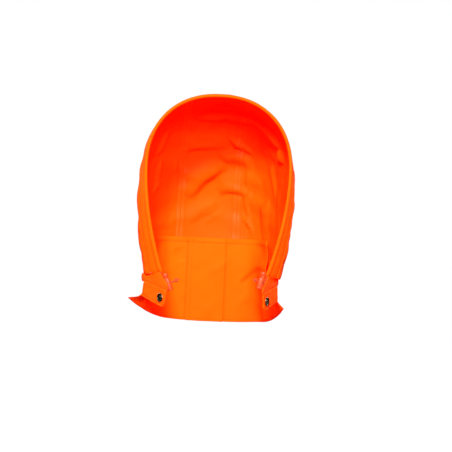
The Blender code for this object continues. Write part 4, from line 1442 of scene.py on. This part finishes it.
def make_hem():
    ends = HEM_LENGTH + HEM_OVER
    crown = np.arange(-HEM_CROWN_HALF, HEM_CROWN_HALF + 1e-6, 0.0020)
    hem_piece("hem_crown", crown, "front_hem_crown")
    side = HEM_CROWN_HALF + GAP + (ends - HEM_CROWN_HALF - GAP) * np.linspace(0, 1, 78)
    tip = ends - (ends - side[-4]) * np.array([0.8, 0.55, 0.35, 0.18, 0.07, 0.0])
    side = np.concatenate([side[:-3], tip])
    for sign, label in SIDES:
        hem_piece(f"hem_{label}", np.sort(sign * side), f"front_hem_{label}")
    reach = np.linspace(-ends + 0.006, ends - 0.006, 560)
    rows = [hem_stitch_line(reach, outside) for outside in (True, False)]
    rows.append(hem_back_line(reach[np.abs(reach) < ends - 0.010]))
    stitching("hem_topstitching", rows)


# ---------------------------------------------------------------- neck facing and flap

NAPE_INSIDE = (0.0, 0.0, -0.32)
FACING_FINE = 72  # rows down the whole facing
CENTER_STRIP = 30
WING_STRIP = 120


@functools.cache
def facing_curve(side, down):
    corner_half, end_half, back, front = (spline(FACING_ROWS[side], down, column) for column in range(4))
    corner, end = np.array([corner_half, back, 0.0]), np.array([end_half, front, 0.0])
    reach = FACING_BEND - FACING_SHARPER[side] * max(0.0, (down - 0.35) / 0.65)
    before = corner - np.array([reach, 0.0, 0.0])
    after = corner + unit(end - corner) * reach
    share = np.linspace(0, 1, 33)[:, None]
    flat = before * [1, 0, 0] * share[:-1] + corner * [0, 1, 0]
    bend = before * (1 - share) ** 2 + corner * 2 * share * (1 - share) + after * share**2
    wing = after + (end - after) * share[1:]
    return np.concatenate([flat, bend, wing])


def facing_row(side, down, share, lead):
    """Points across one half: share 0 to 1 between the start and end distances that lead gives."""
    curve = facing_curve(side, down)
    total = lengths(curve)[-1]
    start, end = lead(total)
    distance = start + (end - start) * share
    points = along_line(curve, distance)
    middle_z, end_z = (spline(FACING_ROWS[side], down, column) for column in (4, 5))
    rise = np.clip(distance / total, 0, None) ** FACING_LIFT[side]
    points[:, 2] = middle_z + (end_z - middle_z) * rise
    points[:, 0] *= side
    return points


FACING_FOLDS = (  # x and z of both ends, width and depth, inwards (into the neck) positive
    ((0.098, -0.250), (0.100, -0.292), 0.0070, -0.0032),
    ((0.100, -0.280), (0.060, -0.319), 0.0050, 0.0036),
    ((0.097, -0.290), (0.066, -0.326), 0.0050, -0.0022),
    ((0.094, -0.318), (0.070, -0.360), 0.0080, 0.0024),
    ((-0.088, -0.246), (-0.091, -0.300), 0.0070, -0.0030),
    ((-0.090, -0.300), (-0.070, -0.372), 0.0090, 0.0026),
    ((-0.052, -0.262), (-0.044, -0.288), 0.0100, -0.0022),
    ((-0.010, -0.300), (0.014, -0.392), 0.0140, 0.0022),
    ((0.044, -0.276), (0.012, -0.306), 0.0060, 0.0012),
)
FACING_TOP = -0.2415  # the height of its top edge
FACING_MOST = 0.0032
FACING_WAVE = 0.0013


def facing_sway(grid):
    """How far the neck cloth sways inwards: gentle waves, and folds at the corners."""
    depth = FACING_WAVE * soft_noise(grid, 0.090, 61) + 0.0005 * soft_noise(grid, 0.034, 62)
    flat = grid[..., [0, 2]]
    for start, end, width, deep in FACING_FOLDS:
        depth += fold(flat, np.array(start), np.array(end), width, width, deep)
    top = np.clip((FACING_TOP - grid[..., 2]) / 0.006, 0.35, 1)
    return np.clip(depth, -FACING_MOST, FACING_MOST) * top


SEAM_CLOSE = 0.00006  # the gap left between two panels of the neck


def facing_grid(label, downs, shift=0.0):
    """One panel's points. shift moves its seams outwards, so that two layers' seams don't line up."""
    if label == "center":
        share = np.linspace(0, 1, CENTER_STRIP // 2 + 1)
        rows = []
        reach = FACING_SEAM + shift
        for down in downs:
            left, right = (facing_row(side, down, share, lambda total: (0.0, reach)) for side, _ in SIDES)
            rows.append(np.concatenate([left[:0:-1], right]))
        return np.stack(rows)
    side = LEFT if label == "left" else RIGHT
    share = np.linspace(0, 1, WING_STRIP + 1)
    start = FACING_SEAM + shift + SEAM_CLOSE
    rows = np.stack([facing_row(side, d, share, lambda total: (start, total)) for d in downs])
    return rows if side == RIGHT else rows[:, ::-1]


def level_normals(grid):
    normals = grid_normals(grid, NAPE_INSIDE)
    normals[..., 2] = 0
    return facing_away(unit(normals), grid, NAPE_INSIDE)


def seam_off(grid):
    """The distance over the cloth from the nearer of the facing's two seams, from how far out x is."""
    return np.abs(np.abs(grid[..., 0]) - FACING_SEAM)


def neck_piece(prefix, label, downs, outer, cloth, node):
    grid = facing_grid(label, downs, 0.0 if prefix == "neck_facing" else 0.0010)
    normals = level_normals(grid)
    middle = grid - normals * facing_sway(grid)[..., None]
    top_edge = FACING_TOP - middle[..., 2]
    at_back = np.where(grid[..., 1] > 0.06, 1.0, 0.0)
    seam = bump(seam_off(grid), 0.0014) * at_back
    felled = np.clip((seam_off(grid) - 0.0005) / 0.0008, 0, 1) * (seam_off(grid) < 0.0095)
    side = (np.abs(grid[..., 0]) < FACING_SEAM) * felled * at_back
    waves = 0.00022 * soft_noise(grid, 0.010, 63) * bump(seam_off(grid) - 0.004, 0.006) * at_back
    hem = np.clip((HEM_BAND - top_edge) / 0.0006, 0, 1) * 0.00055 if prefix == "neck_facing" else 0 * seam
    groove = 0.0003 * bump(top_edge - HEM_BAND, 0.0008) if prefix == "neck_facing" else 0 * seam
    inner_rise = hem - groove + 0.00070 * side - 0.00060 * seam + waves
    outer_rise = -0.00040 * seam + waves
    top = middle + normals * (outer + outer_rise)[..., None]
    low = middle + normals * (outer - cloth - inner_rise)[..., None]
    piece = cloth_piece(f"{prefix}_{label}_cloth", top, low, weave_of(grid), facing_twill())
    finish_piece(piece, "root", "hood_twill", node)
    declare_sheet(grid)


HEM_BAND = 0.0082  # the turned hem along the facing's top edge


def neck_line(side, downs, share, offset):
    """A line over the facing, lifted outwards by offset. downs and share run along it."""
    points, normals = [], []
    for down, part in zip(downs, share):
        parts = np.array([part - 0.004, part, part + 0.004])
        near = facing_row(side, down, parts, lambda total: (0.0, total))
        points.append(near[1])
        step = near[2] - near[0]
        normals.append(unit(np.array([step[1], -step[0], 0.0])))
    points = np.array(points)
    normals = facing_away(np.array(normals), points, NAPE_INSIDE)
    return points + normals * (offset - facing_sway(points)[..., None]), normals


def neck_stitches():
    rows = []
    inner = -FACING_CLOTH - 0.0002
    outer = 2 * GAP + FLAP_CLOTH
    downs = np.linspace(0, 1, 41)[1:-1]
    share = np.linspace(0.004, 0.985, 120)
    for side, _ in SIDES:
        sizes = np.array([lengths(facing_curve(side, down))[-1] for down in downs])
        for off, lift in ((-0.0020, inner - 0.0003), (-0.0078, inner - 0.0003), (0.0018, inner)):
            line, normals = neck_line(side, downs, (FACING_SEAM + off) / sizes, lift)
            rows.append((line, -normals))
        for level in (HEM_BAND / 0.1535, 0.972):
            line, normals = neck_line(side, np.full(120, level), share, inner - 0.0001)
            rows.append((line, -normals))
        rows.append(neck_line(side, np.full(120, 0.972), share, outer))
    stitching("neck_topstitching", rows)


def make_neck():
    whole = np.linspace(0.0, 1.0, FACING_FINE)
    below = np.linspace(FLAP_TOP, 1.0, FACING_FINE // 2)
    for label in ("center", "left", "right"):
        neck_piece("neck_facing", label, whole, 0.0, FACING_CLOTH, f"neck_facing_{label}")
        outer = 2 * GAP + FLAP_CLOTH
        neck_piece("neck_flap", label, below, outer, FLAP_CLOTH, f"neck_flap_{label}")
    neck_stitches()


# ---------------------------------------------------------------- neck bands and press-stud tabs

BAND_CLOTH = 0.0014
BAND_PUFF = 0.0010
BAND_TONGUE = 0.0014  # of the band's edge, sewn between the tab's two layers
BAND_TUCK = 0.0022  # how far the band's top edge goes up beside the shell and into the hem's end


def band_line(side):
    """The band's plan and its lower edge's height, from its free front end to its back."""
    front, turn, back = (np.array([*p, 0.0]) for p in BANDS[side])
    straight = np.linspace(0, 1, 37)
    line = [front + (turn - front) * share for share in straight]
    corner = turn + unit(turn - front) * BAND_BEND
    for t in np.linspace(0.04, 1.0, 30):
        line.append(turn * (1 - t) ** 2 + corner * 2 * t * (1 - t) + back * t**2)
    share = np.concatenate([straight, np.ones(30)])
    line = np.array(line) * np.array([side, 1.0, 1.0])
    return line, CREASE_FRONT + (CREASE_BACK - CREASE_FRONT) * share


def make_band(side, label):
    """The strip of collar under the hem's end, puffed and rolled under at the tab's crease."""
    line, crease = band_line(side)
    down = np.linspace(0, 1, 21)
    tops = np.interp(line[:, 1], *np.array(BAND_TOPS).T) + BAND_TUCK
    rows = []
    for share in down:
        row = line.copy()
        row[:, 2] = tops + (crease - BAND_TONGUE - tops) * share
        rows.append(row)
    grid = np.stack(rows)
    normals = level_normals(grid)
    puff = BAND_PUFF * np.sin(math.pi * np.clip(down, 0.0, 1)) ** 0.6
    roll = 0.0006 * np.clip((down - 0.8) / 0.2, 0, 1) ** 2
    waves = 0.00030 * soft_noise(grid, 0.016, 71 + side)
    shape = (puff - roll)[:, None] * 0.55 + waves
    height = grid[..., 2] - crease
    thin = np.clip((height - 0.0002) / 0.0022, 0, 1) ** 0.7
    half = 0.00015 + (BAND_CLOTH / 2 * 0.8 - 0.00015) * thin
    top = grid + normals * (half + shape * thin)[..., None]
    low = grid - normals * (half + (0.2 * puff[:, None] - 0.5 * waves) * thin)[..., None]
    piece = cloth_piece(f"collar_band_{label}", top, low, weave_of(grid), shell_twill())
    finish_piece(piece, "root", "hood_twill", f"neck_band_{label}")
    declare_sheet(grid)


def tab_frame(side):
    """Axes on the fold's axis at its front end: X along the crease, Y out of the cloth, Z up."""
    front = np.array([side * BANDS[side][0][0], BANDS[side][0][1], CREASE_FRONT])
    back = np.array([side * BANDS[side][1][0], BANDS[side][1][1], CREASE_BACK])
    along = unit(back - front)
    outward = unit(np.array([along[1], -along[0], 0.0])) * side
    up = np.cross(along, outward) * -side
    turn = Matrix(np.stack([along * -side, outward, up]).tolist()).transposed().to_4x4()
    return Matrix.Translation(Vector(front + outward * FOLD_AXIS_OUT)) @ turn, np.linalg.norm(back - front)


TAB_COLUMNS = 96
TAB_ROWS = 52
WELT = 0.0009
BACKING_INSET = 0.0008
TAB_STITCH = 0.0026


def tab_grid(length, inset):
    """Points (distance along the crease, height) over a tab, and their distance in from its edge."""
    first, last = TAB_INSET + inset, length - inset
    ease = np.linspace(0, 1, TAB_COLUMNS) ** 1.35
    x = first + (last - first) * ease
    corner = TAB_CORNER - inset
    short = np.clip(corner - (x - first), 0, corner)
    low = -TAB_DROP + inset + TAB_RISE * (x - first) / (last - first)
    low = low + corner - np.sqrt(np.maximum(corner**2 - short**2, 1e-9))
    top = -GAP - inset
    rows = 1 - (1 - np.linspace(0, 1, TAB_ROWS)) ** 1.15
    z = top + (low - top)[None, :] * rows[:, None]
    x = np.broadcast_to(x, z.shape)
    edge = tab_edge_distance(x, z, first, last, corner, inset)
    return x, z, edge


def tab_edge_distance(x, z, first, last, corner, inset):
    """How far each point is in from the tab's free edges (front, bottom and back)."""
    bottom = -TAB_DROP + inset + TAB_RISE * (x - first) / (last - first)
    sides = np.minimum(x - first, last - x)
    flat = np.minimum(sides, z - bottom)
    dx, dz = first + corner - x, bottom + corner - z
    rounded = corner - np.hypot(np.maximum(dx, 0), np.maximum(dz, 0))
    return np.maximum(np.where((dx > 0) & (dz > 0), rounded, flat), 0)


def tab_sheet(side, length, inset, low_y, high_y, front):
    """Both faces of one layer of a tab, in the tab's own axes. The detail is on its outer face."""
    x, z, edge = tab_grid(length, inset)
    from_stud = np.hypot(x - STUD_FROM_END, z + STUD_DROP)
    solid = np.stack([x, z, 0 * x], axis=-1)
    body = 0.00028 * soft_noise(solid, 0.020, 81) + 0.0002 * soft_noise(solid, 0.008, 82)
    welt = 0.00040 * bump(edge - 0.0012, 0.0009) - 0.00038 * bump(edge - TAB_STITCH, 0.0006)
    puff = 0.00045 * np.clip((edge - TAB_STITCH) / 0.004, 0, 1)
    quiet = 1 - bump(from_stud, 0.0105)
    pinch = -0.00030 * bump(from_stud - 0.0088, 0.0016)
    rise = welt + (puff + body) * quiet + pinch
    thick = high_y - low_y
    round_off = 1 - np.sqrt(np.clip(1 - (1 - np.clip(edge / WELT, 0, 1)) ** 2, 0, 1))
    taper = 0.30 * thick * round_off
    if front:
        near, far = high_y + rise - taper, low_y + taper
    else:
        near, far = high_y - taper, low_y - 0.6 * rise + taper
    return [np.stack([-side * x, y, z], axis=-1) for y in (near, far)], solid


def placed(points, place):
    matrix = np.array(place)
    return points @ matrix[:3, :3].T + matrix[:3, 3]


def tab_stitch_line(side, length, height, place):
    """A row of stitches inside the tab's free edges."""
    first, last, low = TAB_INSET + TAB_STITCH, length - TAB_STITCH, -TAB_DROP + TAB_STITCH
    corner = TAB_CORNER - TAB_STITCH
    turn = np.radians(np.linspace(180, 270, 15))
    x = np.concatenate([[first, first], first + corner + corner * np.cos(turn), [last, last]])
    z = np.concatenate([[-0.0042, -0.012], low + corner + corner * np.sin(turn), [low + TAB_RISE, -0.0042]])
    line = np.stack([-side * x, 0 * x + height, z], axis=-1)
    line = along_line(line, np.linspace(0, lengths(line)[-1], 160))
    way = np.array([0.0, math.copysign(1.0, height + FOLD_AXIS_OUT), 0.0])
    out = np.array(place.to_3x3()) @ way
    return placed(line, place), np.broadcast_to(out, line.shape)


def tab_bend(piece):
    """Bakes the piece's placement into its mesh."""
    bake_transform(piece)


def make_tab(side, label):
    place, length = tab_frame(side)
    middle = -FOLD_AXIS_OUT
    outer = (middle + GAP / 2, middle + GAP / 2 + TAB_CLOTH)
    inner = (middle - GAP / 2 - TAB_CLOTH, middle - GAP / 2)
    for name, (low, high), inset, node in (
        (f"tab_front_cloth_{label}", outer, 0.0, f"front_tab_{label}"),
        (f"tab_back_cloth_{label}", inner, BACKING_INSET, f"tab_backing_{label}"),
    ):
        (near, far), solid = tab_sheet(side, length, inset, low, high, inset == 0)
        top, bottom = placed(near, place), placed(far, place)
        piece = cloth_piece(name, top, bottom, solid, shell_twill())
        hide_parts(node)
        tab_bend(piece)
        declare_sheet((top + bottom) / 2)
    rows = [tab_stitch_line(side, length, height - 0.0001, place) for height in (outer[1], inner[0])]
    stitches = stitching(f"tab_topstitching_{label}", rows, body=None)
    tab_bend(stitches)
    make_stud(side, label, place, outer[1], inner[0])


def turned(name, profile, place, look, segments=72):
    """A piece turned round local Y from (radius, height) sections, with its ends closed."""
    turn = np.linspace(0, 2 * math.pi, segments, endpoint=False)
    rings = np.stack(
        [np.stack([r * np.cos(turn), 0 * turn + y, r * np.sin(turn)], axis=-1) for r, y in profile]
    )
    points, faces = capped_tube(rings)
    return add_piece(name, placed(points, place), faces, look, sharp=38)


CAP_FACE = (  # radius and height of the cap's rings, from its rim to its middle
    (0.0050, 0.0012), (0.0047, 0.0010), (0.0044, 0.0013), (0.0030, 0.0012),
    (0.0026, 0.0010), (0.0022, 0.0013), (0.0008, 0.0015),
)
SOCKET = (  # radius and height of the socket's flange, collar and bore
    (0.0026, -0.0006), (0.0026, 0.0), (0.0058, 0.0), (0.0062, -0.0003), (0.0063, -0.0007),
    (0.0060, -0.0010), (0.0050, -0.0011), (0.0046, -0.0014), (0.0045, -0.0032),
    (0.0043, -0.0037), (0.0039, -0.0038), (0.0034, -0.0037), (0.0032, -0.0033),
    (0.0031, -0.0018), (0.0029, -0.0014),
)


def raised(profile, seat):
    return [(radius, seat + height) for radius, height in profile]


def cap_profile(seat):
    """The cap: a dished face with fine rings inside a rolled rim, on a barrel through the cloth."""
    barrel = STUD_HOLE - GAP
    rim = [
        (STUD_RADIUS - 0.0010 + 0.0010 * math.cos(t), seat + 0.0008 + 0.0010 * math.sin(t))
        for t in np.radians(np.linspace(-70, 160, 12))
    ]
    under = [(barrel, -0.0045), (barrel, 0.0), (STUD_RADIUS - 0.0008, 0.0)]
    return raised(under, seat) + rim + raised(CAP_FACE, seat)


def socket_profile(seat):
    """The spring socket: a flange and a collar that is open for the stud."""
    return raised(SOCKET, seat)


def make_stud(side, label, place, outer_face, inner_face):
    at = place @ Matrix.Translation(Vector((-side * STUD_FROM_END, 0, -STUD_DROP)))
    cap = turned(f"stud_cap_{label}", cap_profile(outer_face + GAP), at, brass())
    socket = turned(f"stud_socket_{label}", socket_profile(inner_face - GAP), at, brass())
    finish_piece(cap, f"tab_{label}", "antique_brass", f"press_stud_cap_{label}")
    finish_piece(socket, f"tab_{label}", "antique_brass", f"press_stud_socket_{label}")


# ---------------------------------------------------------------- the scene


def make_scene():
    make_camera()
    cords = make_cords()
    locks = {side: make_lock(side, label) for side, label in SIDES}
    declare_cords()
    make_hem()
    make_hood_cloth()
    make_neck()
    for side, label in SIDES:
        make_band(side, label)
        make_tab(side, label)
    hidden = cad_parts["drawcord_in_hem"]
    hidden.data.materials.clear()
    hidden.data.materials.append(braid())
    make_light()
    make_world()
    make_floor()


make_scene()
